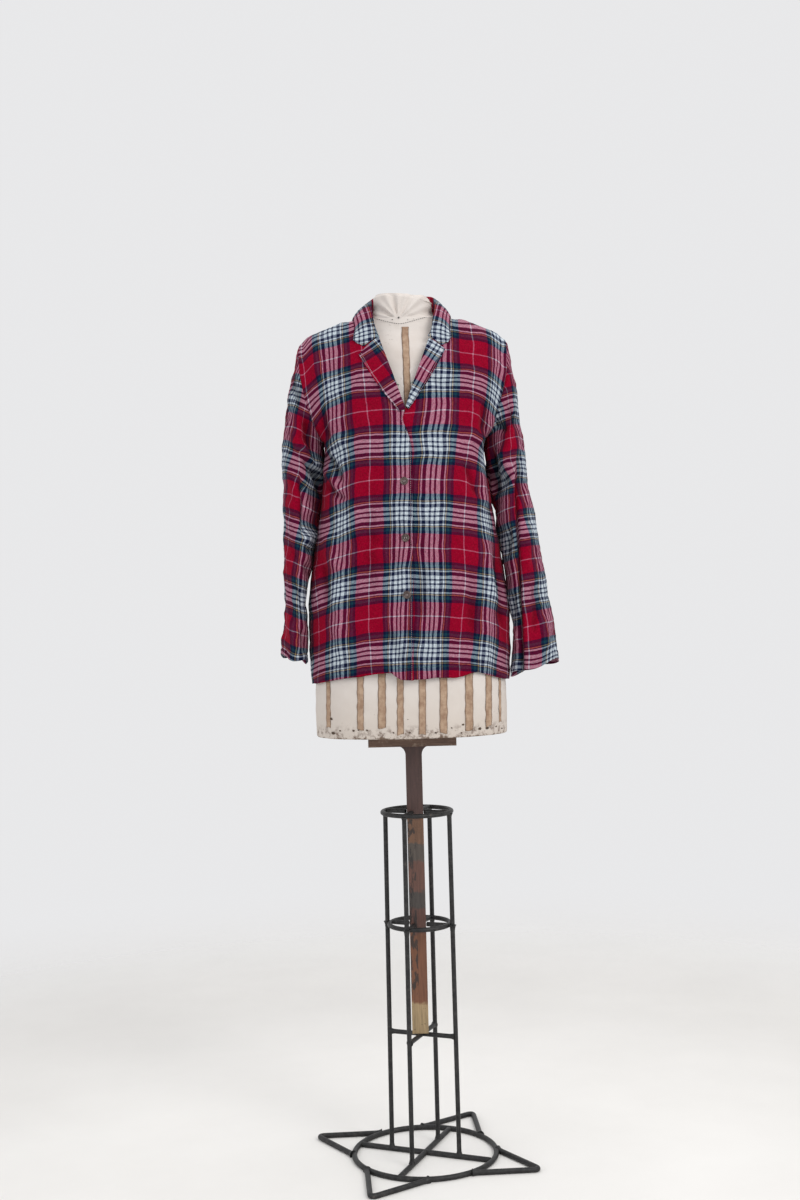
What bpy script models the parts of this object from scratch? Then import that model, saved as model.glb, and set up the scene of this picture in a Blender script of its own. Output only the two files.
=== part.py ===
"""Flannel shirt buttoned on a limbless dress form, on a welded iron stand.

Metres, +Z up. The front faces -Y and +X is the wearer's left. The origin is on the
floor, under the middle of the stand. Cloth is an open grid of points, the inner face
of the flannel, which Solidify makes into a wall.
"""

import math

import bmesh
import bpy
from mathutils import Matrix, Vector

# ---------------------------------------------------------------- driving sizes
WALL = 0.002            # flannel with its nap
GAP = 0.0003            # between pieces that touch
SEAM = 0.0004           # from a panel's edge to the middle of its seam
SEAM_SHARE = 0.9994     # share of a row's arc that a panel fills, clear of the seam
BY_SEAM_SHARE = 0.96    # a place on a row just inside its seam
BODY_X = -0.0055        # the form and the shirt stand a little off the stand's middle
SEAM_Y = 0.004          # the shoulder seams and the sleeves' middles

SHOULDER_SLOPE = 0.36   # fall of the shoulder line for each metre outwards
SHOULDER_Z = 1.5385     # height of the form's shoulder line at SHOULDER_X
SHOULDER_X = 0.0875
NECK_X = 0.068          # half the width of the neckline on the shoulder seam
NECK_DEPTH = 0.062      # the neckline goes this far behind the shoulder seams
NECK_RISE = 0.016       # and rises this far at the centre back
CENTRE_LIFT = 0.0032    # the overlapping front lies this far over the other one

LAPEL_OUT = 0.0009      # from a front's outer face to the lapel on it
LAPEL_ROLL = 0.0026     # how far the lapel springs off its front, in a half wave
SPRING_AT_ROLL = 0.25   # share of the half wave at which the lapel starts at its roll line
SPRING_AT_END = 0.1     # and at its upper and lower ends
COLLAR_SHIFT = 0.003    # the collar's opening sits this far to the wearer's left of BODY_X
STAND_BEND = 0.55       # share of the way up the collar's stand at which it bends
COLLAR_OUT = 0.0025     # least distance from a front's outer face to the collar
COLLAR_SWELL = 0.004    # how far the collar's fall springs out
COLLAR_CROWN = 0.003    # and up
ROLL_OUT = 0.001        # the roll and the fall stand off the table's line
FALL_OUT = 0.003

BUTTON_X = -0.0035      # buttons, from BODY_X
BUTTON_Z = (1.2334, 1.134, 1.0338)
BUTTON_RADIUS = 0.007
BUTTON_HEIGHT = 0.0026
# Half of a button's section, as shares of its radius and height: flat back, rim, dish.
BUTTON_SECTION = (
    (0.0, 0.0), (0.92, 0.0), (1.0, 0.3), (0.97, 1.0), (0.74, 1.0), (0.60, 0.72), (0.0, 0.72))

BOARD_SIZE = (0.161, 0.070, 0.0210)
BOARD_TOP = 0.7782
POST_SIDE = 0.030
POST_X = -0.0035
POST_BOTTOM = 0.2279
POST_FLARE = 0.016      # radius of the fillets under the board

ROD = 0.00425           # radius of the upright rods and the upper rings
BASE_ROD = 0.005        # radius of the rods that lie on the floor
CAGE_RADIUS = 0.0634    # stand's axis to the uprights' axes, at the top ring
CAGE_FOOT = 0.0665      # and at the floor: the uprights splay a little
TOP_RING_Z = 0.634
MID_RING_Z = 0.427
BRACE_Z = 0.2233
ROD_END = 0.00036       # from an upright's end to the bar or ring that it is welded to
BASE_RADIUS = 0.131
FOOT_REACH = 0.227
FOOT_TURN = math.radians(-3.5)
FOOT_SPREAD = math.radians(27)
FOOT_BEND = 0.016       # from the V's sharp corner to the start of its bend
CROSS_TURN = math.radians(-22)
ROUND_SIDES = 8
FLAT_RADIUS = math.cos(math.pi / ROUND_SIDES)  # an octagon's flat, as a share of its radius

ARMHOLE_ROWS = 6        # rows 0 to 6 of the panels end on the armhole
ARMHOLE_STEPS = 9       # wall segments down an armhole
SIDE_STEPS = 13         # wall segments down a side seam
PROBE_ROWS = 0.2        # short steps down and across a panel that find its direction
PROBE_SHARE = 0.05


def table(columns, *rows):
    """Rows of numbers as dictionaries with the names in columns."""
    names = columns.split()
    return [dict(zip(names, row)) for row in rows]


# Outer ends of the panels' rows: down the armhole, then down the side seam. A row is an
# arc about the shirt's middle that stops at the angle end, in degrees.
SEAM_LINE = table(
    "    z      x   y_front  y_back  end",
    (1.504, 0.1850, 0.004, 0.004, 60),
    (1.490, 0.1885, -0.036, 0.042, 55),
    (1.450, 0.1880, -0.052, 0.060, 53),
    (1.403, 0.1800, -0.058, 0.066, 56),
    (1.352, 0.1660, -0.050, 0.058, 64),
    (1.318, 0.1520, -0.026, 0.032, 78),
    (1.308, 0.1470, 0.004, 0.004, 90),
    (1.260, 0.1495, 0.004, 0.004, 90),
    (1.200, 0.1550, 0.004, 0.004, 90),
    (1.130, 0.1665, 0.004, 0.004, 90),
    (1.060, 0.1785, 0.003, 0.003, 90),
    (0.990, 0.1835, 0.002, 0.002, 90),
    (0.930, 0.1835, 0.000, 0.000, 90),
    (0.876, 0.1800, 0.000, 0.000, 90),
)

# The same rows of a front, where they would cross its centre line.
FRONT_ROWS = table(
    "z_mid  y_mid  bow  square",
    (1.5706, 0.004, 1.0, 1.0),
    (1.5550, -0.050, 1.2, 0.9),
    (1.5070, -0.079, 1.5, 0.8),
    (1.4520, -0.101, 1.7, 0.8),
    (1.4020, -0.114, 1.8, 0.8),
    (1.3570, -0.125, 1.9, 0.8),
    (1.3200, -0.132, 2.0, 0.75),
    (1.2780, -0.136, 2.0, 0.75),
    (1.2180, -0.136, 2.0, 0.8),
    (1.1480, -0.134, 2.0, 0.85),
    (1.0780, -0.132, 2.0, 0.9),
    (1.0080, -0.132, 2.0, 0.9),
    (0.9490, -0.133, 2.0, 0.9),
    (0.8970, -0.134, 2.0, 0.9),
)

BACK_ROWS = table(
    "z_mid  y_mid  bow  square",
    (1.5706, 0.004, 1.0, 1.0),
    (1.5440, 0.080, 1.2, 0.8),
    (1.5000, 0.099, 1.4, 0.75),
    (1.4500, 0.110, 1.5, 0.75),
    (1.4000, 0.115, 1.6, 0.75),
    (1.3550, 0.117, 1.7, 0.75),
    (1.3180, 0.118, 1.8, 0.8),
    (1.2720, 0.119, 2.0, 0.8),
    (1.2100, 0.121, 2.0, 0.85),
    (1.1400, 0.124, 2.0, 0.9),
    (1.0700, 0.128, 2.0, 0.9),
    (1.0000, 0.132, 2.0, 0.9),
    (0.9400, 0.135, 2.0, 0.9),
    (0.8830, 0.137, 2.0, 0.9),
)

# Inner edge of each front, down the neckline, the lapel's roll line and the opening.
OVER_EDGE = table(
    "   z      x",
    (1.5480, -0.0680),
    (1.5250, -0.0620),
    (1.5000, -0.0510),
    (1.4850, -0.0425),
    (1.3600, 0.0010),
    (1.3420, -0.0040),
    (1.3170, 0.0056),
    (1.2900, 0.0115),
    (1.1600, 0.0095),
    (0.8800, 0.0045),
)
UNDER_EDGE = table(
    "   z      x",
    (1.5480, 0.0680),
    (1.5250, 0.0640),
    (1.5000, 0.0570),
    (1.4850, 0.0510),
    (1.3640, 0.0035),
    (1.3300, -0.0120),
    (1.3000, -0.0165),
    (0.8800, -0.0165),
)

# Lapel outlines, as distances from BODY_X: roll line, notch, point and lower end.
LAPELS = {
    -1: {"top": (-0.0436, 1.4930), "notch": (-0.0690, 1.4803), "point": (-0.0776, 1.4635),
         "end": (0.0000, 1.3600), "edge_end": (-0.0085, 1.3560), "belly": 0.004},
    1: {"top": (0.0515, 1.4890), "notch": (0.0637, 1.4806), "point": (0.0752, 1.4696),
        "end": (0.0040, 1.3640), "edge_end": (0.0075, 1.3600), "belly": 0.003},
}

# Half of the collar, centre back to front end: foot of the stand, roll and outer edge.
COLLAR_ROWS = table(
    "foot_x foot_y foot_z  roll_x roll_y roll_z  edge_x edge_y edge_z  dip",
    (0.0000, 0.0640, 1.5640, 0.0000, 0.0740, 1.5960, 0.0000, 0.1060, 1.5500, 0.0),
    (0.0320, 0.0565, 1.5620, 0.0340, 0.0645, 1.5950, 0.0530, 0.0960, 1.5450, 0.0),
    (0.0545, 0.0370, 1.5575, 0.0535, 0.0390, 1.5900, 0.0835, 0.0560, 1.5420, 0.0),
    (0.0635, 0.0040, 1.5490, 0.0580, 0.0040, 1.5760, 0.0905, 0.0040, 1.5430, 0.0),
    (0.0600, -0.0280, 1.5455, 0.0575, -0.0300, 1.5570, 0.0900, -0.0420, 1.5335, 0.0),
    (0.0530, -0.0580, 1.5220, 0.0540, -0.0620, 1.5290, 0.0905, -0.0680, 1.5100, 0.002),
    (0.0440, -0.0800, 1.4960, 0.0475, -0.0820, 1.4960, 0.0895, -0.0780, 1.4930, 0.010),
)

# Rings down each sleeve: outer and inner end, half depth, middle, bulge and skew.
SLEEVE_ROWS = {
    -1: table(
        "x_out  z_out  x_in  z_in  depth   y    bulge  skew",
        (0.1935, 1.478, 0.1545, 1.290, 0.061, 0.004, 0.016, 0.000),
        (0.2065, 1.425, 0.1580, 1.262, 0.064, 0.003, 0.012, 0.000),
        (0.2180, 1.362, 0.1600, 1.232, 0.067, 0.002, 0.008, 0.001),
        (0.2255, 1.300, 0.1640, 1.198, 0.066, 0.001, 0.004, 0.003),
        (0.2265, 1.236, 0.1690, 1.160, 0.064, 0.000, 0.001, 0.005),
        (0.2250, 1.165, 0.1755, 1.115, 0.062, -0.003, 0.000, 0.007),
        (0.2260, 1.085, 0.1850, 1.060, 0.060, -0.006, 0.000, 0.008),
        (0.2265, 1.010, 0.1890, 0.998, 0.057, -0.009, 0.000, 0.009),
        (0.2310, 0.955, 0.1895, 0.950, 0.055, -0.011, 0.000, 0.009),
        (0.2345, 0.928, 0.1900, 0.915, 0.056, -0.012, 0.000, 0.009),
    ),
    1: table(
        "x_out  z_out  x_in  z_in  depth   y    bulge  skew",
        (0.1945, 1.478, 0.1545, 1.290, 0.061, 0.004, 0.016, 0.000),
        (0.2050, 1.430, 0.1580, 1.262, 0.064, 0.003, 0.012, 0.000),
        (0.2120, 1.368, 0.1600, 1.232, 0.067, 0.002, 0.008, 0.002),
        (0.2185, 1.302, 0.1640, 1.198, 0.066, 0.001, 0.004, 0.004),
        (0.2265, 1.234, 0.1690, 1.155, 0.063, 0.000, 0.001, 0.008),
        (0.2355, 1.165, 0.1770, 1.102, 0.059, -0.003, 0.000, 0.009),
        (0.2470, 1.085, 0.1880, 1.040, 0.056, -0.005, 0.000, 0.012),
        (0.2580, 1.005, 0.1910, 0.975, 0.054, -0.006, 0.000, 0.016),
        (0.2665, 0.950, 0.1920, 0.925, 0.055, -0.007, 0.000, 0.017),
        (0.2700, 0.908, 0.1925, 0.882, 0.057, -0.008, 0.000, 0.018),
    ),
}

# Large creases of the sleeves: ring, angle round it from the outer side, depth, spreads.
SLEEVE_FOLDS = table(
    "ring  angle  depth  rings  degrees",
    (3.2, 60, 0.006, 0.40, 50),
    (4.1, 110, 0.007, 0.40, 55),
    (5.0, 50, 0.006, 0.40, 50),
    (4.6, 280, 0.006, 0.45, 60),
    (5.7, 250, 0.005, 0.40, 50),
    (8.2, 80, 0.004, 0.40, 60),
)

# Rings of the form: half width, depth to the front and back, squareness and side shift.
FORM_ROWS = table(
    "  z     half   front   back  square  shift",
    (0.7785, 0.1740, 0.121, 0.121, 2.3, 0.000),
    (0.7815, 0.1755, 0.123, 0.123, 2.3, 0.000),
    (0.8200, 0.1765, 0.126, 0.126, 2.3, 0.000),
    (0.8900, 0.1740, 0.125, 0.124, 2.3, 0.000),
    (0.9600, 0.1600, 0.116, 0.110, 2.2, 0.000),
    (1.0300, 0.1350, 0.102, 0.093, 2.2, 0.000),
    (1.0800, 0.1260, 0.098, 0.088, 2.2, 0.000),
    (1.1500, 0.1310, 0.106, 0.090, 2.2, 0.000),
    (1.2200, 0.1390, 0.118, 0.096, 2.3, 0.000),
    (1.2800, 0.1430, 0.127, 0.102, 2.3, 0.000),
    (1.3300, 0.1430, 0.120, 0.106, 2.3, 0.000),
    (1.3800, 0.1470, 0.109, 0.107, 2.3, 0.000),
    (1.4300, 0.1560, 0.096, 0.104, 2.3, 0.000),
    (1.4700, 0.1640, 0.083, 0.096, 2.2, 0.000),
    (1.4950, 0.1660, 0.068, 0.082, 1.8, 0.000),
    (1.5120, 0.1580, 0.058, 0.070, 1.5, 0.000),
    (1.5250, 0.1235, 0.055, 0.064, 1.5, 0.000),
    (1.5360, 0.0930, 0.053, 0.059, 1.6, 0.000),
    (1.5460, 0.0600, 0.052, 0.056, 1.9, 0.002),
    (1.5600, 0.0545, 0.050, 0.054, 2.0, 0.002),
    (1.5740, 0.0535, 0.050, 0.053, 2.0, 0.002),
    (1.5820, 0.0500, 0.046, 0.050, 2.0, 0.002),
)
FORM_SIDES = 28
NECK_SEAM_Z = 1.546     # the ring at which the neck is sewn to the torso
NECK_CAP_Z = 1.57       # above this the neck's rings tilt
NECK_CAP_TILT = 0.10    # and fall towards the wearer's left


# ---------------------------------------------------------------- helpers
def clear_scene():
    for item in list(bpy.data.objects):
        bpy.data.objects.remove(item, do_unlink=True)


def material(name, colour, roughness, metallic=0.0):
    finish = bpy.data.materials.new(name)
    finish.use_nodes = True
    shader = finish.node_tree.nodes["Principled BSDF"]
    shader.inputs["Base Color"].default_value = (*colour, 1.0)
    shader.inputs["Roughness"].default_value = roughness
    shader.inputs["Metallic"].default_value = metallic
    return finish


def add_object(name, mesh, finish, collection):
    item = bpy.data.objects.new(name, mesh)
    mesh.materials.append(finish)
    collection.objects.link(item)
    return item


def mesh_from(bm, name):
    mesh = bpy.data.meshes.new(name)
    bm.to_mesh(mesh)
    bm.free()
    return mesh


def slope(before, here, after):
    """The slope of a smooth curve at a row, none where the values turn back."""
    rise, next_rise = here - before, after - here
    if rise * next_rise <= 0:
        return 0.0
    steepest = 3 * min(abs(rise), abs(next_rise))
    return max(-steepest, min(steepest, (after - before) / 2))


def spline(values, position):
    """A smooth value at a fractional row number, through the rows and never past them."""
    if isinstance(values[0], Vector):
        return Vector([spline([value[axis] for value in values], position) for axis in range(3)])
    last = len(values) - 1
    row = min(max(int(position), 0), last - 1)
    t = position - row
    start, end = values[row], values[row + 1]
    leave = slope(values[row - 1], start, end) if row else end - start
    arrive = slope(start, end, values[row + 2]) if row + 2 <= last else end - start
    bend = (start - end) * 2 + leave + arrive
    turn = (end - start) * 3 - leave * 2 - arrive
    return start + leave * t + turn * t ** 2 + bend * t ** 3


def straight(rows, key, where, column):
    """The column's value at a falling key, straight between the rows."""
    for upper, lower in zip(rows, rows[1:]):
        if where >= lower[key]:
            share = (upper[key] - where) / (upper[key] - lower[key])
            return upper[column] + (lower[column] - upper[column]) * max(share, 0.0)
    return rows[-1][column]


def signed_power(value, power):
    return math.copysign(abs(value) ** power, value)


def grid_mesh(name, rows, closed=False):
    """Quads through rows of points, joined round when closed."""
    bm = bmesh.new()
    ranks = [[bm.verts.new(point) for point in row] for row in rows]
    count = len(ranks[0])
    for upper, lower in zip(ranks, ranks[1:]):
        for i in range(count if closed else count - 1):
            j = (i + 1) % count
            bm.faces.new((upper[i], lower[i], lower[j], upper[j]))
    return mesh_from(bm, name)


def cloth(name, rows, closed=False):
    """A panel whose grid is its inner face. Its rows run left to right as seen from outside."""
    mesh = grid_mesh(name, rows, closed)
    mesh.shade_smooth()
    item = add_object(name, mesh, FLANNEL, PARTS)
    wall = item.modifiers.new("flannel wall", "SOLIDIFY")
    wall.thickness = WALL
    wall.offset = 1.0
    return item


# ---------------------------------------------------------------- shirt body
def row_point(rows, row, share, side):
    """A point of one row, at a share of the way from its centre line (0) to its seam (1)."""
    seam = SEAM_LINE[row]
    shape = rows[row]
    y_seam = seam["y_front"] if rows is FRONT_ROWS else seam["y_back"]
    end = math.radians(seam["end"])
    reach = math.sin(share * end) / math.sin(end)
    z = shape["z_mid"] + (seam["z"] - shape["z_mid"]) * abs(reach) ** shape["bow"]
    at_seam = max(math.cos(end), 0.0) ** shape["square"]
    depth = (max(math.cos(share * end), 0.0) ** shape["square"] - at_seam) / (1 - at_seam)
    y = y_seam + (shape["y_mid"] - y_seam) * depth
    return Vector((BODY_X + side * seam["x"] * reach, y, z))


def panel_point(rows, position, share, side):
    """A point of a panel between its rows."""
    near = [row_point(rows, row, share, side) for row in range(len(rows))]
    return spline(near, position)


def row_positions():
    """Fractional row numbers of the panels' grid lines, shoulder to hem."""
    last = len(SEAM_LINE) - 1
    armhole = [ARMHOLE_ROWS * step / ARMHOLE_STEPS for step in range(ARMHOLE_STEPS)]
    side_rows = last - ARMHOLE_ROWS
    side = [ARMHOLE_ROWS + side_rows * step / SIDE_STEPS for step in range(SIDE_STEPS + 1)]
    return armhole + side


def share_at(position, side, x):
    """The share of the way to the seam at which a row has a given distance from BODY_X."""
    half_width = spline([row["x"] for row in SEAM_LINE], position)
    end = math.radians(spline([row["end"] for row in SEAM_LINE], position))
    reach = max(-1.0, min(1.0, side * x / half_width * math.sin(end)))
    return math.asin(reach) / end


def edge_share(position, side, edge):
    """The share of the way to the seam at which a row meets the front's inner edge."""
    share = 0.1
    for _ in range(12):
        z = panel_point(FRONT_ROWS, position, share, side).z
        share = share_at(position, side, straight(edge, "z", z, "x"))
    return share


def front_points(side, edge, columns, lift):
    """The grid of one front, inner edge to seam. Near the centre it is moved out by lift."""
    rows = []
    for position in row_positions():
        start = edge_share(position, side, edge)
        points = []
        for column in range(columns + 1):
            share = start + (SEAM_SHARE - start) * column / columns
            point = panel_point(FRONT_ROWS, position, share, side)
            point.y -= lift * (1 - share ** 2) ** 2
            points.append(point)
        rows.append(points if side > 0 else points[::-1])
    return rows


def neckline_point(share):
    """The top of the back: the shoulder seams, and the neckline between them."""
    point = row_point(BACK_ROWS, 0, share, 1)
    across = abs(point.x - BODY_X) / NECK_X
    if across < 1:
        shoulder = SHOULDER_Z + GAP - SHOULDER_SLOPE * (NECK_X - SHOULDER_X)
        round_back = math.sqrt(1 - across ** 2)
        point.y = SEAM_Y + NECK_DEPTH * round_back
        point.z = shoulder + NECK_RISE * round_back
    return point


def back_points(columns):
    """The grid of the back, from one seam across to the other."""
    rows = []
    for position in row_positions():
        points = []
        for column in range(columns + 1):
            share = SEAM_SHARE * (1 - 2 * column / columns)
            near = [neckline_point(share)]
            near += [row_point(BACK_ROWS, row, share, 1) for row in range(1, len(BACK_ROWS))]
            point = spline(near, position)
            if position == 0:
                point.y += 2 * SEAM
            points.append(point)
        rows.append(points)
    return rows


# ---------------------------------------------------------------- sleeves
def armhole_point(turn, side):
    """The sleeve's own edge, just off the armhole, from the shoulder (0) by the front to the
    underarm (half a turn), where it lies outside the body's wall."""
    half = turn / math.pi
    position = ARMHOLE_ROWS * min(half, 2.0 - half)
    rows = FRONT_ROWS if half <= 1.0 else BACK_ROWS
    seam = panel_point(rows, position, 1.0, side)
    onwards = (seam - panel_point(rows, position, BY_SEAM_SHARE, side)).normalized()
    aside = Vector((side, 0.0, 0.0))
    underarm = (position / ARMHOLE_ROWS) ** 2
    return seam + onwards * 2 * SEAM * (1 - underarm) + aside * (2 * WALL + 4 * GAP) * underarm


def sleeve_ring(ring, turn, side):
    """A point of one ring of a sleeve. Ring 0 is its edge at the armhole."""
    rows = SLEEVE_ROWS[side]
    if ring == 0:
        return armhole_point(turn, side)
    row = rows[ring - 1]
    out_share = (1 + math.cos(turn)) / 2
    front = math.sin(turn)
    x = row["x_in"] + (row["x_out"] - row["x_in"]) * out_share
    x += row["bulge"] * front ** 2 - row["skew"] * front
    z = row["z_in"] + (row["z_out"] - row["z_in"]) * out_share
    y = row["y"] - row["depth"] * front
    return Vector((BODY_X + side * x, y, z))


def sleeve_points(side, sides, steps):
    """The rings of one sleeve, armhole to cuff, with its large creases pressed in."""
    last = len(SLEEVE_ROWS[side])
    rings = []
    for step in range(steps + 1):
        position = last * step / steps
        points = []
        for i in range(sides):
            turn = 2 * math.pi * i / sides
            points.append(spline([sleeve_ring(ring, turn, side) for ring in range(last + 1)], position))
        middle = sum(points, Vector()) / sides
        for i, point in enumerate(points):
            depth = 0.0
            for fold in SLEEVE_FOLDS:
                along = (position - fold["ring"]) / fold["rings"]
                round_it = (360 * i / sides - fold["angle"] + 180) % 360 - 180
                depth += fold["depth"] * math.exp(-along ** 2 - (round_it / fold["degrees"]) ** 2)
            inwards = Vector((middle.x - point.x, middle.y - point.y, 0.0)).normalized()
            point += inwards * depth
        rings.append(points if side < 0 else points[::-1])
    return rings


# ---------------------------------------------------------------- collar and lapels
def on_front(side, x, z, out):
    """The point of a front's outer face above (x, z), moved out by a distance."""
    low, high = 0.0, float(len(FRONT_ROWS) - 1)
    for _ in range(22):
        position = (low + high) / 2
        share = share_at(position, side, x)
        point = panel_point(FRONT_ROWS, position, share, side)
        if point.z > z:
            low = position
        else:
            high = position
    down = panel_point(FRONT_ROWS, position + PROBE_ROWS, share, side) - point
    across = panel_point(FRONT_ROWS, position, share + PROBE_SHARE, side) - point
    normal = down.cross(across).normalized()
    if normal.y > 0:
        normal.negate()
    lift = CENTRE_LIFT if side < 0 else 0.0
    return point + normal * (WALL + out) + Vector((0.0, -lift * (1 - share ** 2) ** 2, 0.0))


def lapel_points(side, across, along):
    """A lapel folded back on its front: its lower end first, roll line to outer edge."""
    outline = {name: Vector(value) for name, value in LAPELS[side].items() if name != "belly"}
    belly = LAPELS[side]["belly"]
    rows = []
    for step in range(along + 1):
        share = step / along
        roll = outline["end"].lerp(outline["top"], share)
        edge = outline["edge_end"].lerp(outline["point"], share)
        edge.x += side * belly * math.sin(math.pi * share)
        points = []
        for column in range(across + 1):
            width = column / across
            spot = roll.lerp(edge, width)
            shortfall = (outline["notch"] - outline["top"].lerp(outline["point"], 0.5)).y
            spot.y += shortfall * math.sin(math.pi * width) * share ** 4
            spring = math.sin(math.pi * min(1.0, width + SPRING_AT_ROLL))
            spring *= math.sin(math.pi * min(1.0 - SPRING_AT_END, share + SPRING_AT_END))
            points.append(on_front(side, spot.x, spot.y, LAPEL_OUT + LAPEL_ROLL * spring))
        rows.append(points)
    rows = rows[::-1]
    return rows if side > 0 else [row[::-1] for row in rows]


def collar_points(columns, across):
    """The collar from its wearer's-right front end round the back to its left one."""
    names = [name for name in COLLAR_ROWS[0] if name != "dip"]
    last = len(COLLAR_ROWS) - 1
    mirrored = COLLAR_ROWS[:0:-1] + COLLAR_ROWS
    rows = []
    for step in range(2 * columns + 1):
        share = step / columns - 1
        side = 1 if share > 0 else -1
        spot = {}
        for name in names:
            flip = -1 if name.endswith("_x") else 1
            values = [row[name] * (flip if i < last else 1) for i, row in enumerate(mirrored)]
            spot[name] = spline(values, last + last * share)
        dip = spline([row["dip"] for row in mirrored], last + last * share)
        foot, roll, edge = (
            Vector((BODY_X + spot[part + "_x"], spot[part + "_y"], spot[part + "_z"]))
            for part in ("foot", "roll", "edge"))
        foot.x += COLLAR_SHIFT
        roll.x += COLLAR_SHIFT
        outwards = Vector((roll.x - BODY_X - COLLAR_SHIFT, roll.y, 0.0)).normalized()
        points = [foot, foot.lerp(roll, STAND_BEND)]
        points.append(clear_of_front(side, roll + outwards * ROLL_OUT, COLLAR_OUT))
        for column in range(1, across + 1):
            width = column / across
            point = roll.lerp(edge, width)
            swell = math.sin(math.pi * width)
            point += outwards * (FALL_OUT + COLLAR_SWELL * swell)
            point.z += (COLLAR_CROWN - dip) * swell
            points.append(clear_of_front(side, point, COLLAR_OUT))
        rows.append(points)
    return rows


def clear_of_front(side, point, clearance):
    """The point, brought forward where needed to lie in front of a front panel."""
    if point.y > 0.0:
        return point
    cover = on_front(side, point.x - BODY_X, point.z, clearance)
    return Vector((point.x, min(point.y, cover.y), point.z))


# ---------------------------------------------------------------- buttons
def button(number, z):
    """A dished disc on the overlapping front, its face towards -Y."""
    section = [(BUTTON_RADIUS * out, 0.0, BUTTON_HEIGHT * up) for out, up in BUTTON_SECTION]
    bm = bmesh.new()
    verts = [bm.verts.new(point) for point in section]
    edges = [bm.edges.new(pair) for pair in zip(verts, verts[1:])]
    bmesh.ops.spin(
        bm, geom=verts + edges, cent=(0, 0, 0), axis=(0, 0, 1), angle=2 * math.pi, steps=16)
    bmesh.ops.remove_doubles(bm, verts=bm.verts, dist=1e-5)
    bmesh.ops.recalc_face_normals(bm, faces=bm.faces)
    name = f"button_{number}"
    item = add_object(name, mesh_from(bm, name), BUTTON, PARTS)
    item.location = on_front(-1, BUTTON_X, z, GAP)
    item.rotation_euler = (math.pi / 2, 0.0, 0.0)


# ---------------------------------------------------------------- dress form
def form_piece(name, rows):
    """A closed, stuffed piece of the canvas form, through its rings from the bottom up."""
    bm = bmesh.new()
    ranks = []
    for row in rows:
        rank = []
        for i in range(FORM_SIDES):
            turn = 2 * math.pi * i / FORM_SIDES
            power = 2 / row["square"]
            x = row["half"] * signed_power(math.cos(turn), power)
            depth = row["back"] if math.sin(turn) > 0 else row["front"]
            y = depth * signed_power(math.sin(turn), power)
            z = row["z"]
            if z > NECK_CAP_Z:
                z -= NECK_CAP_TILT * x
            rank.append(bm.verts.new((BODY_X + row["shift"] + x, y, z)))
        ranks.append(rank)
    for lower, upper in zip(ranks, ranks[1:]):
        for i in range(FORM_SIDES):
            j = (i + 1) % FORM_SIDES
            bm.faces.new((lower[i], lower[j], upper[j], upper[i]))
    bm.faces.new(ranks[0][::-1])
    bm.faces.new(ranks[-1])
    mesh = mesh_from(bm, name)
    mesh.shade_smooth()
    mesh.set_sharp_from_angle(angle=math.radians(50))
    add_object(name, mesh, CANVAS, PARTS)


def dress_form():
    """The torso, hip to neck seam, and the neck sewn on it."""
    torso = [row for row in FORM_ROWS if row["z"] <= NECK_SEAM_Z]
    neck = [dict(row) for row in FORM_ROWS if row["z"] >= NECK_SEAM_Z]
    neck[0]["z"] += GAP
    form_piece("form_torso", torso)
    form_piece("form_neck", neck)


# ---------------------------------------------------------------- board and post
def box(name, centre, size, finish):
    bm = bmesh.new()
    bmesh.ops.create_cube(bm, size=1.0)
    bmesh.ops.scale(bm, vec=size, verts=bm.verts)
    item = add_object(name, mesh_from(bm, name), finish, PARTS)
    item.location = centre
    return item


def post():
    """The square post with a filleted head, cut from one outline."""
    top = BOARD_TOP - BOARD_SIZE[2] - GAP
    half = POST_SIDE / 2
    outline = [(-half, POST_BOTTOM), (half, POST_BOTTOM)]
    steps = 5
    for side in (1, -1):
        arc = []
        for step in range(steps + 1):
            turn = math.pi / 2 * step / steps
            x = half + POST_FLARE * (1 - math.cos(turn))
            arc.append((side * x, top - POST_FLARE * (1 - math.sin(turn))))
        outline += arc if side > 0 else arc[::-1]
    bm = bmesh.new()
    face = bm.faces.new([bm.verts.new((x, -half, z)) for x, z in outline])
    made = bmesh.ops.extrude_face_region(bm, geom=[face])
    far = [item for item in made["geom"] if isinstance(item, bmesh.types.BMVert)]
    bmesh.ops.translate(bm, verts=far, vec=(0.0, POST_SIDE, 0.0))
    bmesh.ops.recalc_face_normals(bm, faces=bm.faces)
    item = add_object("post", mesh_from(bm, "post"), WOOD, PARTS)
    item.location.x = POST_X


# ---------------------------------------------------------------- iron stand
def bar(name, start, end, radius):
    """A straight rod with eight sides, one of them facing down when it lies flat."""
    start, end = Vector(start), Vector(end)
    bm = bmesh.new()
    bmesh.ops.create_cone(
        bm, cap_ends=True, segments=ROUND_SIDES, radius1=radius, radius2=radius,
        depth=(end - start).length)
    flat_down = Matrix.Rotation(math.pi / ROUND_SIDES, 3, "Z")
    bmesh.ops.rotate(bm, verts=bm.verts, cent=(0, 0, 0), matrix=flat_down)
    item = add_object(name, mesh_from(bm, name), IRON, PARTS)
    item.location = (start + end) / 2
    item.rotation_mode = "QUATERNION"
    item.rotation_quaternion = (end - start).to_track_quat("Z", "Y")
    return item


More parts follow.
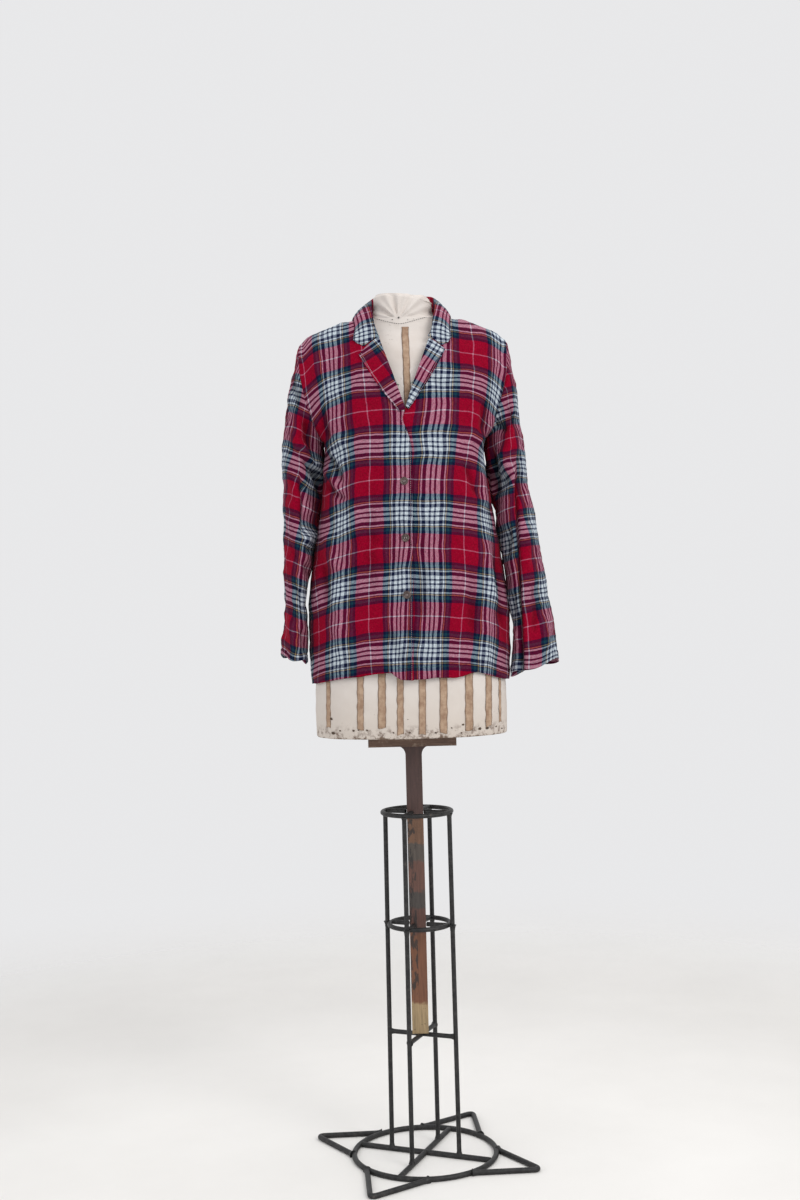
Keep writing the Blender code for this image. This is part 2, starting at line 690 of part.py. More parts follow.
def ring(name, radius, rod, z, steps):
    """A rod bent into a closed ring, flat underneath."""
    bm = bmesh.new()
    turn = Matrix.Rotation(math.pi / ROUND_SIDES, 4, "Z")
    stand_up = Matrix.Rotation(math.pi / 2, 4, "X")
    made = bmesh.ops.create_circle(bm, segments=ROUND_SIDES, radius=rod, matrix=stand_up @ turn)
    bmesh.ops.translate(bm, verts=made["verts"], vec=(radius, 0.0, 0.0))
    bmesh.ops.spin(
        bm, geom=bm.verts[:] + bm.edges[:], cent=(0, 0, 0), axis=(0, 0, 1),
        angle=2 * math.pi, steps=steps)
    bmesh.ops.remove_doubles(bm, verts=bm.verts, dist=1e-5)
    bmesh.ops.recalc_face_normals(bm, faces=bm.faces)
    item = add_object(name, mesh_from(bm, name), IRON, PARTS)
    item.location.z = z
    return item


def polar(radius, angle, z):
    return Vector((radius * math.cos(angle), radius * math.sin(angle), z))


def slid_to_radius(point, ahead, radius):
    """The point, slid along a direction to a distance from the stand's axis."""
    along = point.x * ahead.x + point.y * ahead.y
    across = point.x ** 2 + point.y ** 2 - radius ** 2
    root = math.sqrt(along ** 2 - across)
    slides = (-along - root, -along + root)
    return point + ahead * min(slides, key=abs)


def foot(number, direction):
    """A rod bent to a V that lies on the floor, its two ends at the base ring."""
    z = BASE_ROD * FLAT_RADIUS
    weld = BASE_RADIUS + BASE_ROD + GAP
    ends = [polar(weld, direction - FOOT_SPREAD, z), polar(weld, direction + FOOT_SPREAD, z)]
    apex = polar(FOOT_REACH, direction, z)
    legs = [(end - apex).normalized() * FOOT_BEND for end in ends]
    steps = 4
    route = [ends[0]]
    for step in range(steps + 1):
        share = step / steps
        route.append(apex + legs[0] * (1 - share) ** 2 + legs[1] * share ** 2)
    route.append(ends[1])
    turns = [math.pi / ROUND_SIDES * (2 * i + 1) for i in range(ROUND_SIDES)]
    section = [(math.cos(turn), math.sin(turn)) for turn in turns]
    bm = bmesh.new()
    ranks = []
    for i, spot in enumerate(route):
        before = route[max(i - 1, 0)]
        after = route[min(i + 1, len(route) - 1)]
        ahead = (after - before).normalized()
        aside = Vector((-ahead.y, ahead.x, 0.0))
        rim = [spot + (aside * u + Vector((0, 0, v))) * BASE_ROD for u, v in section]
        if i in (0, len(route) - 1):
            rim = [slid_to_radius(corner, ahead, weld) for corner in rim]
        ranks.append([bm.verts.new(corner) for corner in rim])
    for lower, upper in zip(ranks, ranks[1:]):
        for i in range(ROUND_SIDES):
            j = (i + 1) % ROUND_SIDES
            bm.faces.new((lower[i], lower[j], upper[j], upper[i]))
    bm.faces.new(ranks[0])
    bm.faces.new(ranks[-1][::-1])
    bmesh.ops.recalc_face_normals(bm, faces=bm.faces)
    add_object(f"foot_{number}", mesh_from(bm, f"foot_{number}"), IRON, PARTS)


def crossed_bars(name, radius, reach, z):
    """Two crossing rods in one plane: one goes through, the other is cut at it."""
    for letter, direction in (("a", CROSS_TURN), ("b", CROSS_TURN + math.pi / 2)):
        if letter == "a":
            bar(f"{name}_a", polar(-reach, direction, z), polar(reach, direction, z), radius)
            continue
        inner = radius + GAP
        bar(f"{name}_b1", polar(inner, direction, z), polar(reach, direction, z), radius)
        bar(f"{name}_b2", polar(-inner, direction, z), polar(-reach, direction, z), radius)


def cage_radius(z):
    """Distance of the uprights' axes from the stand's axis at a height."""
    return CAGE_FOOT + (CAGE_RADIUS - CAGE_FOOT) * z / TOP_RING_Z


def stand():
    floor_z = BASE_ROD * FLAT_RADIUS
    ring("base_ring", BASE_RADIUS, BASE_ROD, floor_z, 40)
    crossed_bars("base_bar", BASE_ROD, BASE_RADIUS - BASE_ROD - 2 * GAP, floor_z)
    ring("top_ring", CAGE_RADIUS, ROD, TOP_RING_Z, 32)
    mid_radius = cage_radius(MID_RING_Z) - 2 * ROD - GAP
    ring("mid_ring", mid_radius, ROD, MID_RING_Z, 32)
    crossed_bars("brace", ROD, cage_radius(BRACE_Z) - ROD - GAP, BRACE_Z)
    flat = ROD * FLAT_RADIUS
    post_reach = POST_SIDE / 2 / math.cos(CROSS_TURN) + ROD * math.tan(abs(CROSS_TURN)) + 2 * GAP
    shift = Vector((POST_X, 0.0, 0.0))
    for i in range(4):
        direction = CROSS_TURN + i * math.pi / 2
        bottom = polar(CAGE_FOOT, direction, 2 * floor_z + ROD_END)
        top = polar(CAGE_RADIUS, direction, TOP_RING_Z - flat - ROD_END)
        bar(f"rod_{i + 1}", bottom, top, ROD)
        foot(i + 1, direction + FOOT_TURN)
        for level, outer, z in (("top", CAGE_RADIUS, TOP_RING_Z), ("mid", mid_radius, MID_RING_Z)):
            inner_end = polar(post_reach, direction, z) + shift
            outer_end = polar(outer - ROD - 2 * GAP, direction, z)
            bar(f"{level}_stub_{i + 1}", inner_end, outer_end, ROD)


# ---------------------------------------------------------------- build
clear_scene()
PARTS = bpy.data.collections.new("flannel_shirt_on_dress_form")
bpy.context.scene.collection.children.link(PARTS)
FLANNEL = material("flannel", (0.24, 0.02, 0.045), 0.9)
BUTTON = material("button", (0.20, 0.17, 0.15), 0.5)
CANVAS = material("canvas", (0.62, 0.56, 0.46), 0.9)
WOOD = material("wood", (0.13, 0.06, 0.035), 0.6)
IRON = material("iron", (0.02, 0.02, 0.022), 0.5, 0.6)

cloth("back", back_points(columns=22))
cloth("front_right", front_points(-1, OVER_EDGE, columns=11, lift=CENTRE_LIFT))
cloth("front_left", front_points(1, UNDER_EDGE, columns=11, lift=0.0))
cloth("sleeve_right", sleeve_points(-1, sides=2 * ARMHOLE_STEPS, steps=21), closed=True)
cloth("sleeve_left", sleeve_points(1, sides=2 * ARMHOLE_STEPS, steps=21), closed=True)
cloth("collar", collar_points(columns=13, across=4))
cloth("lapel_right", lapel_points(-1, across=4, along=9))
cloth("lapel_left", lapel_points(1, across=4, along=9))
for count, height in enumerate(BUTTON_Z, start=1):
    button(count, height)
dress_form()
box("cross_board", (BODY_X, 0.0, BOARD_TOP - BOARD_SIZE[2] / 2), BOARD_SIZE, WOOD)
post()
stand()
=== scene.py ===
"""Looks of a flannel shirt on a dress form with a stand.

Metres, except in tables that say millimetres, in the frame of the CAD model: +Z up, the
shirt's front faces -Y and +X is the wearer's left. A side is -1 for the wearer's right and
1 for the left, and "out" is the distance from BODY_X towards that side.
"""

import math

import bpy
import numpy as np
from mathutils import Matrix, Vector


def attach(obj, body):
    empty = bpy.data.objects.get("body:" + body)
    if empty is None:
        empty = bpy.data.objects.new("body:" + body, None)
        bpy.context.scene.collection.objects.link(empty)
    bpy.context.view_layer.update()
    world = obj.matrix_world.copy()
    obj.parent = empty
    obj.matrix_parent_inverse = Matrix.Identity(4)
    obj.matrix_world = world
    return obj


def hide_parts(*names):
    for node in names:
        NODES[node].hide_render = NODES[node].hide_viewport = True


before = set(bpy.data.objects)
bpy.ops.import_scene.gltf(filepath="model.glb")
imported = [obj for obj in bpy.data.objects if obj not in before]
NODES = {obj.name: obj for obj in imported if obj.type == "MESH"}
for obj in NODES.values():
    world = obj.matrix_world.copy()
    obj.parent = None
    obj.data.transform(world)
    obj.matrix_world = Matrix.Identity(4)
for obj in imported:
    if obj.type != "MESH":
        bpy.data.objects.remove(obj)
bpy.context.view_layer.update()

# ---------------------------------------------------------------- driving sizes
BODY_X = -0.0055          # middle of the form and shirt
SEAM_Y = 0.004            # shoulder seams, from front to back
SHOULDER_SLOPE = 0.36
SHOULDER_Z = 1.5385
SHOULDER_X = 0.0875
NECK_X = 0.068
NECK_DEPTH = 0.062
NECK_RISE = 0.016
CENTRE_LIFT = 0.0032      # the over front lies this far over the other one
WALL = 0.002              # the CAD cloth
LAPEL_OUT = 0.0009
LAPEL_ROLL = 0.0026
COLLAR_SHIFT = 0.003      # the collar sits this far towards the wearer's left
COLLAR_OUT = 0.0025       # at least this far over the fronts
COLLAR_SWELL = 0.004
COLLAR_CROWN = 0.003
ROLL_OUT = 0.001
FALL_OUT = 0.003
ARMHOLE_ROWS = 6
SEAM_EASE = 0.35          # rows below the shoulder seam in which the cloth turns to it
SEAM_NORMAL = (0.34, 0.94)        # out and up

CLOTH = 0.0012            # flannel
CLOTH_OUT = 0.0010        # from the CAD cloth's inner face to the middle of the flannel
FACED = 0.0020            # flannel with its facing, at the collar and lapels
FINE = 0.0024             # size of the cloth's mesh
CREASE_GAIN = 1.7
BODY_ROWS_APART = 0.052   # between the last rows of the body's tables, down the cloth
SLEEVE_ROWS_APART = 0.035
TURNED_HEM = (0.021, 0.0195)      # how deep the turned edge is, and where its stitches lie
TURNED_CUFF = (0.016, 0.0150)
HEM_ROW = -9              # the mesh's row under the hem's stitches
CUFF_ROW = -6
FRONT_COLUMNS = 88
BACK_COLUMNS = 150
BACK_FINE = 0.0027
SLEEVE_SIDES = 132
SLEEVE_RINGS = 226

HALF_SETT = 0.061         # half a repeat of the tartan, the same both ways
BACK_LAY = 0.3 * HALF_SETT        # where the middle of the back lies in the tartan
COLLAR_SETT = 0.9         # the repeat looks this much smaller on the collar and lapels
LAPEL_SETT = 0.95         # the same across the lapels' stripes
COLLAR_LAY = 0.016        # from the collar's outer edge to the middle of the white
COLLAR_END_LAY = 0.010    # from the collar's ends to the middle of the white

BUTTON_X = -0.0035
BUTTON_Z = (1.2334, 1.134, 1.0338)
BUTTON_PROFILE = (        # radii and heights, from the middle of the face to under the rim
    (0.0000007, 0.0018), (0.0042, 0.0018), (0.0049, 0.0019), (0.00539, 0.0023), (0.00595, 0.0026),
    (0.00651, 0.0025), (0.006895, 0.0019), (0.0070, 0.0010), (0.00686, 0.0004), (0.0063, 0.0),
)

POST_X = -0.0035
POST_HALF = 0.015
# Zones of the post: heights of its ends and colour. The top zone, under the form, is darker finish
# with painted shade in it.
POST_ZONES = (
    (0.000, 0.285, (0.330, 0.235, 0.125)),
    (0.285, 0.413, (0.160, 0.062, 0.030)),
    (0.413, 0.458, (0.095, 0.042, 0.032)),
    (0.458, 0.487, (0.052, 0.043, 0.038)),
    (0.487, 0.544, (0.115, 0.052, 0.038)),
    (0.544, 0.577, (0.075, 0.060, 0.050)),
    (0.577, 0.624, (0.150, 0.075, 0.042)),
    (0.624, 0.780, (0.066, 0.033, 0.028)),
)
ROD = 0.00425
BASE_ROD = 0.005
CAGE_RADIUS = 0.0634
CAGE_FOOT = 0.0665
TOP_RING_Z = 0.634
MID_RING_Z = 0.427
BRACE_Z = 0.2233
BASE_RADIUS = 0.131
FOOT_REACH = 0.227
FOOT_TURN = math.radians(-3.5)
FOOT_SPREAD = math.radians(27)
FOOT_BEND = 0.016
CROSS_TURN = math.radians(-22)
FLAT_RADIUS = math.cos(math.pi / 8)       # of the eight-sided CAD rods, to their flats
WELD_GAP = 0.0003         # between rods that are welded
FLOOR_SOLID = 0.5         # the floor's colour fades out between these distances
FLOOR_GONE = 2.6
CAMERA_PLACE = (-0.0214, -2.77, 1.025)
CAMERA_ROLL = math.radians(1.44)
LAMPS = {                 # place, aim, size, power and colour
    "key": ((2.2, -2.6, 2.9), (0, 0, 1.1), 1.8, 60, (1.0, 0.985, 0.96)),
    "fill": ((-2.6, -2.2, 1.8), (0, 0, 1.1), 2.4, 18, (0.95, 0.98, 1.0)),
    "top": ((0.3, 0.4, 3.6), (0, 0, 0.6), 2.2, 18, (1.0, 1.0, 1.0)),
}

SIDES = {-1: "right", 1: "left"}
IRON_PARTS = ("base", "top", "mid", "brace", "rod", "foot")


def table(columns, *rows):
    """Columns of numbers by name."""
    return dict(zip(columns.split(), np.array(rows, float).T))


def millimetres(columns, *rows):
    """Columns of lengths by name, written in millimetres and kept in metres."""
    return table(columns, *(np.array(rows) / 1000))


# Rows down the body: where its side seams lie, with the turn in degrees that a row's bow
# makes there, then the middle of the front and back and the shape of each row's bow.
SEAM_LINE = table(
    "    z      x   y_front  y_back  end",
    (1.504, 0.1850, 0.004, 0.004, 60),
    (1.490, 0.1885, -0.036, 0.042, 55),
    (1.450, 0.1880, -0.052, 0.060, 53),
    (1.403, 0.1800, -0.058, 0.066, 56),
    (1.352, 0.1660, -0.050, 0.058, 64),
    (1.318, 0.1520, -0.026, 0.032, 78),
    (1.308, 0.1470, 0.004, 0.004, 90),
    (1.260, 0.1495, 0.004, 0.004, 90),
    (1.200, 0.1550, 0.004, 0.004, 90),
    (1.130, 0.1665, 0.004, 0.004, 90),
    (1.060, 0.1785, 0.003, 0.003, 90),
    (0.990, 0.1835, 0.002, 0.002, 90),
    (0.930, 0.1835, 0.000, 0.000, 90),
    (0.876, 0.1800, 0.000, 0.000, 90),
)
FRONT_ROWS = table(
    "z_mid  y_mid  bow  square",
    (1.5706, 0.004, 1.0, 1.0),
    (1.5550, -0.050, 1.2, 0.9),
    (1.5070, -0.079, 1.5, 0.8),
    (1.4520, -0.101, 1.7, 0.8),
    (1.4020, -0.114, 1.8, 0.8),
    (1.3570, -0.125, 1.9, 0.8),
    (1.3200, -0.132, 2.0, 0.75),
    (1.2780, -0.136, 2.0, 0.75),
    (1.2180, -0.136, 2.0, 0.8),
    (1.1480, -0.134, 2.0, 0.85),
    (1.0780, -0.132, 2.0, 0.9),
    (1.0080, -0.132, 2.0, 0.9),
    (0.9490, -0.133, 2.0, 0.9),
    (0.8970, -0.134, 2.0, 0.9),
)
BACK_ROWS = table(
    "z_mid  y_mid  bow  square",
    (1.5706, 0.004, 1.0, 1.0),
    (1.5440, 0.080, 1.2, 0.8),
    (1.5000, 0.099, 1.4, 0.75),
    (1.4500, 0.110, 1.5, 0.75),
    (1.4000, 0.115, 1.6, 0.75),
    (1.3550, 0.117, 1.7, 0.75),
    (1.3180, 0.118, 1.8, 0.8),
    (1.2720, 0.119, 2.0, 0.8),
    (1.2100, 0.121, 2.0, 0.85),
    (1.1400, 0.124, 2.0, 0.9),
    (1.0700, 0.128, 2.0, 0.9),
    (1.0000, 0.132, 2.0, 0.9),
    (0.9400, 0.135, 2.0, 0.9),
    (0.8830, 0.137, 2.0, 0.9),
)
FRONT_ROWS["y_seam"] = SEAM_LINE["y_front"]
BACK_ROWS["y_seam"] = SEAM_LINE["y_back"]

OVER_EDGE = millimetres(
    "z x",
    (1548, -68), (1525, -62), (1500, -51), (1485, -42.5), (1360, 1), (1342, -4), (1317, 5.6),
    (1290, 11.5), (1160, 9.5), (880, 4.5),
)
UNDER_EDGE = millimetres(
    "z x",
    (1548, 68), (1525, 64), (1500, 57), (1485, 51), (1364, 3.5), (1330, -12), (1300, -16.5),
    (880, -16.5),
)
EDGES = {-1: OVER_EDGE, 1: UNDER_EDGE}
# Corners of each lapel as x and z, how far its edge bows out, a point that the pale line of
# its tartan crosses, and where the stripes along its edge lie in the tartan.
LAPELS = {
    -1: {"top": (-0.0436, 1.4930), "notch": (-0.0690, 1.4803), "point": (-0.0776, 1.4635),
         "end": (0.0000, 1.3600), "edge_end": (-0.0085, 1.3560), "belly": 0.004,
         "pale": (-0.0385, 1.4400), "lay": 0.0},
    1: {"top": (0.0485, 1.4890), "notch": (0.0637, 1.4806), "point": (0.0752, 1.4696),
        "end": (0.0040, 1.3640), "edge_end": (0.0075, 1.3600), "belly": 0.003,
        "pale": (0.0395, 1.4315), "lay": HALF_SETT - 0.015},
}
# The collar's foot, fold and outer edge, from the middle of the neck to its front end.
COLLAR_ROWS = millimetres(
    "foot_x foot_y foot_z roll_x roll_y roll_z edge_x edge_y edge_z",
    (0, 64, 1564, 0, 74, 1596, 0, 106, 1550),
    (32, 56.5, 1562, 34, 64.5, 1595, 53, 96, 1545),
    (54.5, 37, 1557.5, 53.5, 39, 1590, 82, 56, 1542),
    (63.5, 4, 1549, 58, 4, 1576, 87, 4, 1543),
    (60, -28, 1545.5, 57.5, -30, 1557, 85, -42, 1533.5),
    (53, -58, 1522, 54, -62, 1529, 83.5, -68, 1510),
    (44, -80, 1496, 47.5, -82, 1496, 86.5, -78, 1493),
)
# How far the collar's front ends reach down, from the fold (0) to the outer corner (1).
COLLAR_END = {
    -1: table("width  dip", (0.0, 0.0), (0.28, 0.007), (0.50, 0.0140), (0.75, 0.0080), (1.0, 0.0010)),
    1: table("width  dip", (0.0, 0.0), (0.42, 0.0150), (0.80, 0.0085), (0.95, 0.0010), (1.0, -0.0015)),
}
# Rings down each sleeve: distance out and height of the outer and inner side, half depth
# and middle from front to back, how far the outer side bulges, and the ring's skew.
SLEEVE_ROWS = {
    -1: millimetres(
        "x_out z_out x_in z_in depth y bulge skew",
        (192.5, 1474, 154.5, 1290, 61, 4, 16, 0),
        (206, 1423, 158, 1262, 64, 3, 12, 0),
        (218, 1362, 160, 1232, 67, 2, 8, 1),
        (225.5, 1300, 164, 1198, 66, 1, 4, 3),
        (226.5, 1236, 169, 1160, 64, 0, 1, 5),
        (225, 1165, 175.5, 1115, 62, -3, 0, 7),
        (226, 1085, 185, 1060, 60, -6, 0, 8),
        (226.5, 1010, 189, 998, 57, -9, 0, 9),
        (231, 955, 189.5, 950, 55, -11, 0, 9),
        (234.5, 928, 190, 915, 56, -12, 0, 9),
    ),
    1: millimetres(
        "x_out z_out x_in z_in depth y bulge skew",
        (192.5, 1474, 154.5, 1290, 61, 4, 16, 0),
        (203, 1426, 158, 1262, 64, 3, 12, 0),
        (211, 1366, 160, 1232, 67, 2, 8, 2),
        (218.5, 1302, 164, 1198, 66, 1, 4, 4),
        (226.5, 1234, 169, 1155, 63, 0, 1, 8),
        (235.5, 1165, 177, 1102, 59, -3, 0, 9),
        (247, 1085, 188, 1040, 56, -5, 0, 12),
        (258, 1005, 191, 975, 54, -6, 0, 16),
        (266.5, 950, 192, 925, 55, -7, 0, 17),
        (270, 908, 192.5, 882, 57, -8, 0, 18),
    ),
}
# Broad hollows in the sleeves: ring and angle of the middle, depth and extent.
SLEEVE_FOLDS = table(
    "ring  angle  depth  rings  degrees",
    (3.2, 60, 0.006, 0.40, 50),
    (4.1, 110, 0.007, 0.40, 55),
    (5.0, 50, 0.006, 0.40, 50),
    (4.6, 280, 0.006, 0.45, 60),
    (5.7, 250, 0.005, 0.40, 50),
    (8.2, 80, 0.004, 0.40, 60),
    (2.4, 132, 0.009, 0.50, 26),
    (3.6, 134, 0.010, 0.50, 24),
    (5.4, 134, 0.006, 0.45, 24),
)
# Level rings of the form: height, half width, depth to the front and back, the power of
# its outline, and how far it lies aside.
FORM_ROWS = table(
    "  z     half   front   back  square  shift",
    (0.7785, 0.1740, 0.121, 0.121, 2.3, 0.000),
    (0.7815, 0.1755, 0.123, 0.123, 2.3, 0.000),
    (0.8200, 0.1765, 0.126, 0.126, 2.3, 0.000),
    (0.8900, 0.1740, 0.125, 0.124, 2.3, 0.000),
    (0.9600, 0.1600, 0.116, 0.110, 2.2, 0.000),
    (1.0300, 0.1350, 0.102, 0.093, 2.2, 0.000),
    (1.0800, 0.1260, 0.098, 0.088, 2.2, 0.000),
    (1.1500, 0.1310, 0.106, 0.090, 2.2, 0.000),
    (1.2200, 0.1390, 0.118, 0.096, 2.3, 0.000),
    (1.2800, 0.1430, 0.127, 0.102, 2.3, 0.000),
    (1.3300, 0.1430, 0.120, 0.106, 2.3, 0.000),
    (1.3800, 0.1470, 0.109, 0.107, 2.3, 0.000),
    (1.4300, 0.1560, 0.096, 0.104, 2.3, 0.000),
    (1.4700, 0.1640, 0.083, 0.096, 2.2, 0.000),
    (1.4950, 0.1660, 0.068, 0.082, 1.8, 0.000),
    (1.5120, 0.1580, 0.058, 0.070, 1.5, 0.000),
    (1.5250, 0.1235, 0.055, 0.064, 1.5, 0.000),
    (1.5360, 0.0930, 0.053, 0.059, 1.6, 0.000),
    (1.5460, 0.0600, 0.052, 0.056, 1.9, 0.002),
    (1.5600, 0.0545, 0.050, 0.054, 2.0, 0.002),
    (1.5740, 0.0535, 0.050, 0.053, 2.0, 0.002),
    (1.5820, 0.0500, 0.046, 0.050, 2.0, 0.002),
)
# Tapes: their edges and height at the top, then at the end.
TAPES = millimetres(
    "x0 x1 z_top x0_end x1_end z_end",
    (-6.6, 6.4, 1519, -4, 7.5, 1300),
    (-157, -149, 940, -159.6, -151.7, 798.7),
    (-100, -88.2, 940, -103.1, -91.3, 797),
    (-62.8, -48.7, 940, -65.9, -51.8, 800),
    (-29.2, -17.3, 940, -32.7, -20.9, 787),
    (9.3, 22, 940, 5.8, 18.5, 786),
    (46.2, 59.9, 940, 42.8, 56.6, 788),
    (91.9, 106.3, 940, 88.5, 102.9, 791),
    (129.2, 140.8, 940, 126, 137.7, 795),
    (154, 158.5, 940, 151.5, 156, 800),
)
NECK_SEAM = 1.5
# The stitches of the neck seam, the knots above it and the rust spots at the lower edge.
TACK_LINE = millimetres(
    "x z",
    (-57.3, 1540.1), (-32.2, 1530.4), (-8.8, 1525.1), (11.2, 1529.3), (47.7, 1541.1),
)
KNOTS = millimetres(
    "x z size",
    (-12.1, 1537.2, 2), (-23.1, 1533.8, 1.1), (4.9, 1532.5, 0.9), (15.8, 1534, 0.8),
)
SPOTS = millimetres(
    "x z size",
    (-134.3, 794.4, 1.6), (-109.7, 794.9, 1.8), (-100.7, 796.3, 1.4), (-85.4, 795.8, 1.9),
    (-59.7, 805.8, 1.5), (-38.6, 790.8, 1.5), (-29.8, 790.6, 1.2), (-9.7, 790.2, 1.8),
    (13.1, 790.8, 1.4), (35.8, 788.9, 1.7), (64.4, 796.6, 1.2), (85.2, 801.4, 2),
    (81.5, 786.9, 1.4), (114.8, 792.5, 3), (128.5, 792.7, 2.8), (146.1, 793.5, 1.5),
    (157.1, 788.3, 1.3), (126.2, 804.3, 1), (-12.8, 814.2, 0.9), (-150, 815, 2.4),
    (-147, 790, 3),
)
# Loose ends of green thread on the form: both ends' x, and z.
GREEN_ENDS = ((-0.0245, -0.0130, 1.4085), (0.0075, 0.0165, 1.4120))
PLEATS_AT = (-0.012, 1.534)       # where the neck's gathers meet
NECK_CAP_Z = 1.57
NECK_CAP_TILT = 0.10
GRIME_TOP = 0.805
EDGE_STAIN = 0.7835       # the brown line along the form's lower edge
FORM_EDGE = 0.7822        # spots lie above it

# ---------------------------------------------------------------- lie of the tartan
# Where upright stripes lie on each front, as distances out: the middle of the white next
# to the opening, the red's near edge, the pale line in it, its far edge, and so on.
STRIPE_LEVELS = {"white": 0.061, "near": 0.026, "pale": 0.0, "far": -0.026,
                 "white_2": -0.061, "near_2": -0.0955, "pale_2": -0.122}
STRIPES = {
    -1: millimetres(
        "z white near pale far white_2 near_2 pale_2",
        (1520, 12, 44, 73, 96, 130, 164, 183.5),
        (1480, 9, 44, 72.5, 95, 129, 160.8, 182.8),
        (1440, 5, 42, 71, 93.2, 126.5, 156.2, 178.7),
        (1400, 3, 40, 68.2, 93, 125.5, 150.3, 173.7),
        (1360, 2.5, 37.8, 64.2, 91.2, 124, 147.5, 165.3),
        (1320, 3, 37, 61.5, 89.5, 120.5, 143, 158),
        (1280, 5, 37.2, 61.8, 89.5, 116.5, 138.5, 152),
        (1240, 6, 37.8, 63.7, 89.5, 113.7, 136.2, 153),
        (1200, 7.8, 40.3, 65.6, 90.2, 113.8, 135.8, 155),
        (1160, 9, 40.3, 65.3, 89.7, 114.7, 134.5, 156),
        (1120, 10.3, 42, 66.8, 89.7, 117.2, 140, 160),
        (1080, 14.5, 42.8, 67.9, 91.2, 121.7, 143.7, 168),
        (1040, 16.2, 44.8, 70.6, 94.5, 123.7, 146.2, 165),
        (1000, 18.7, 46.2, 70.9, 95.3, 125.5, 147.8, 162),
        (960, 20.5, 46.5, 70.4, 95.3, 127, 148.2, 162.2),
        (920, 22.8, 47, 70.3, 96, 128.5, 151.2, 164),
        (880, 23.5, 47, 66.5, 96.2, 128.5, 151.5, 166),
    ),
    1: millimetres(
        "z white near pale far white_2 near_2 pale_2",
        (1520, 68, 101, 123.3, 154, 174, 206, 230),
        (1480, 66, 101.3, 127.5, 154.7, 173.5, 206, 230),
        (1440, 63.8, 100.8, 125.5, 153, 170, 202, 225),
        (1400, 62.5, 100, 123, 148, 164, 196, 220),
        (1360, 59.7, 95.8, 121.2, 144, 157, 188, 210),
        (1340, 57.2, 94.7, 118.5, 141.3, 154, 185, 205),
        (1320, 53, 91, 116.3, 136, 149, 180, 200),
        (1280, 52.2, 86.5, 109.2, 130, 138.5, 170, 190),
        (1240, 47.5, 83, 106.7, 124, 137, 147, 180),
        (1200, 45, 80.5, 103, 125, 139.5, 147.5, 180),
        (1160, 43.8, 78.7, 100.8, 125, 141, 152, 180),
        (1120, 41.3, 76.8, 100.2, 124.5, 145, 157.2, 180),
        (1080, 42.2, 75.5, 100.5, 123.8, 146.3, 160.5, 180),
        (1040, 41.8, 73.8, 98.5, 123, 148, 163, 179),
        (1000, 40.5, 70.5, 94.7, 118.5, 146.8, 159.7, 177),
        (960, 37, 67.2, 88.8, 115, 142.5, 159, 175),
        (920, 33.5, 66.3, 85.5, 108, 138.5, 154.7, 174),
        (880, 32.5, 64.5, 85, 107.5, 138, 150, 174),
    ),
}
# Heights of every second stripe across each front, at distances out, from the top down:
# the middle of a white one, then the pale line in a red one, and so on.
CROSS_OUT = np.array((0, 50, 80, 100, 120, 140, 160, 180)) / 1000
CROSS_TOP = 0.549
CROSS_Z = {
    -1: np.array((
        (1529.5, 1529, 1526, 1521, 1517, 1513, 1506, 1487),
        (1474, 1473.5, 1471.7, 1466, 1462, 1458.8, 1452, 1436.7),
        (1416, 1416.3, 1417.5, 1413, 1407.5, 1401.7, 1387.5, 1372),
        (1358, 1360.5, 1358.7, 1357.2, 1352.7, 1342.8, 1310, 1270),
        (1296.3, 1297.5, 1296.3, 1292.5, 1286.5, 1278, 1262, 1235),
        (1237, 1236.8, 1235.2, 1230.3, 1222.5, 1218, 1213, 1205),
        (1177, 1175.8, 1174.2, 1169, 1161.7, 1155, 1150, 1142),
        (1117.5, 1116.2, 1113.7, 1109.5, 1104.5, 1097.5, 1092, 1084),
        (1057, 1054.7, 1052, 1049, 1045.8, 1040, 1033.3, 1025),
        (996.7, 995, 992, 988.3, 984.2, 979.7, 971.7, 964.7),
        (935.8, 934, 932, 928.3, 925.8, 920.8, 915, 906),
    )) / 1000,
    1: np.array((
        (1531, 1531, 1530, 1527.5, 1525.5, 1524, 1518, 1503),
        (1470, 1470, 1469.2, 1467, 1464.5, 1461.7, 1455.8, 1441.7),
        (1414, 1414.5, 1415, 1415, 1412.5, 1406.7, 1395, 1375),
        (1353.5, 1357.5, 1360, 1359.2, 1356.7, 1346.7, 1328, 1300),
        (1296.5, 1297.5, 1297.5, 1295.3, 1291.7, 1278, 1255, 1230),
        (1237.2, 1235.3, 1235, 1233.3, 1228, 1223.8, 1215, 1200),
        (1176.7, 1175.3, 1174.2, 1172, 1169.2, 1165, 1159, 1150),
        (1117.8, 1114.5, 1113.3, 1110.8, 1107.2, 1103.8, 1098, 1090),
        (1057, 1055.5, 1053.7, 1050.8, 1047.5, 1043.3, 1035.8, 1026),
        (997, 994.3, 991.7, 990, 985.8, 982, 973.3, 961),
        (935.8, 934.5, 933, 930.8, 926.7, 923.3, 914.2, 904),
    )) / 1000,
}
# One upright stripe down the front of each sleeve: its height, its distance out and its
# place in the tartan.
SLEEVE_STRIPE = {
    -1: millimetres(
        "z out at",
        (1440, 160, 61), (1254.6, 173, 61), (1138, 186.9, 61), (1038.8, 203.9, 61),
        (930, 210.2, 61),
    ),
    1: millimetres(
        "z out at",
        (1440, 193, 0), (1260, 206, 0), (1120, 211, 0), (1003, 217, 0), (908, 227.4, 0),
    ),
}
# Heights of the pale lines at each sleeve's outer edge, and their fall towards the body.
SLEEVE_CROSS = {
    -1: millimetres(
        "z v",
        (1470, 488), (1350, 366), (1228.5, 244), (1107, 122), (984, 0), (890, -94),
    ),
    1: millimetres(
        "z v",
        (1430, 488), (1314.5, 366), (1212, 244), (1096.5, 122), (979, 0), (880, -100),
    ),
}
SLEEVE_FALL = {-1: 0.45, 1: 0.18}
INNER_FALL = 0.37         # the same on the left sleeve, past its deep crease
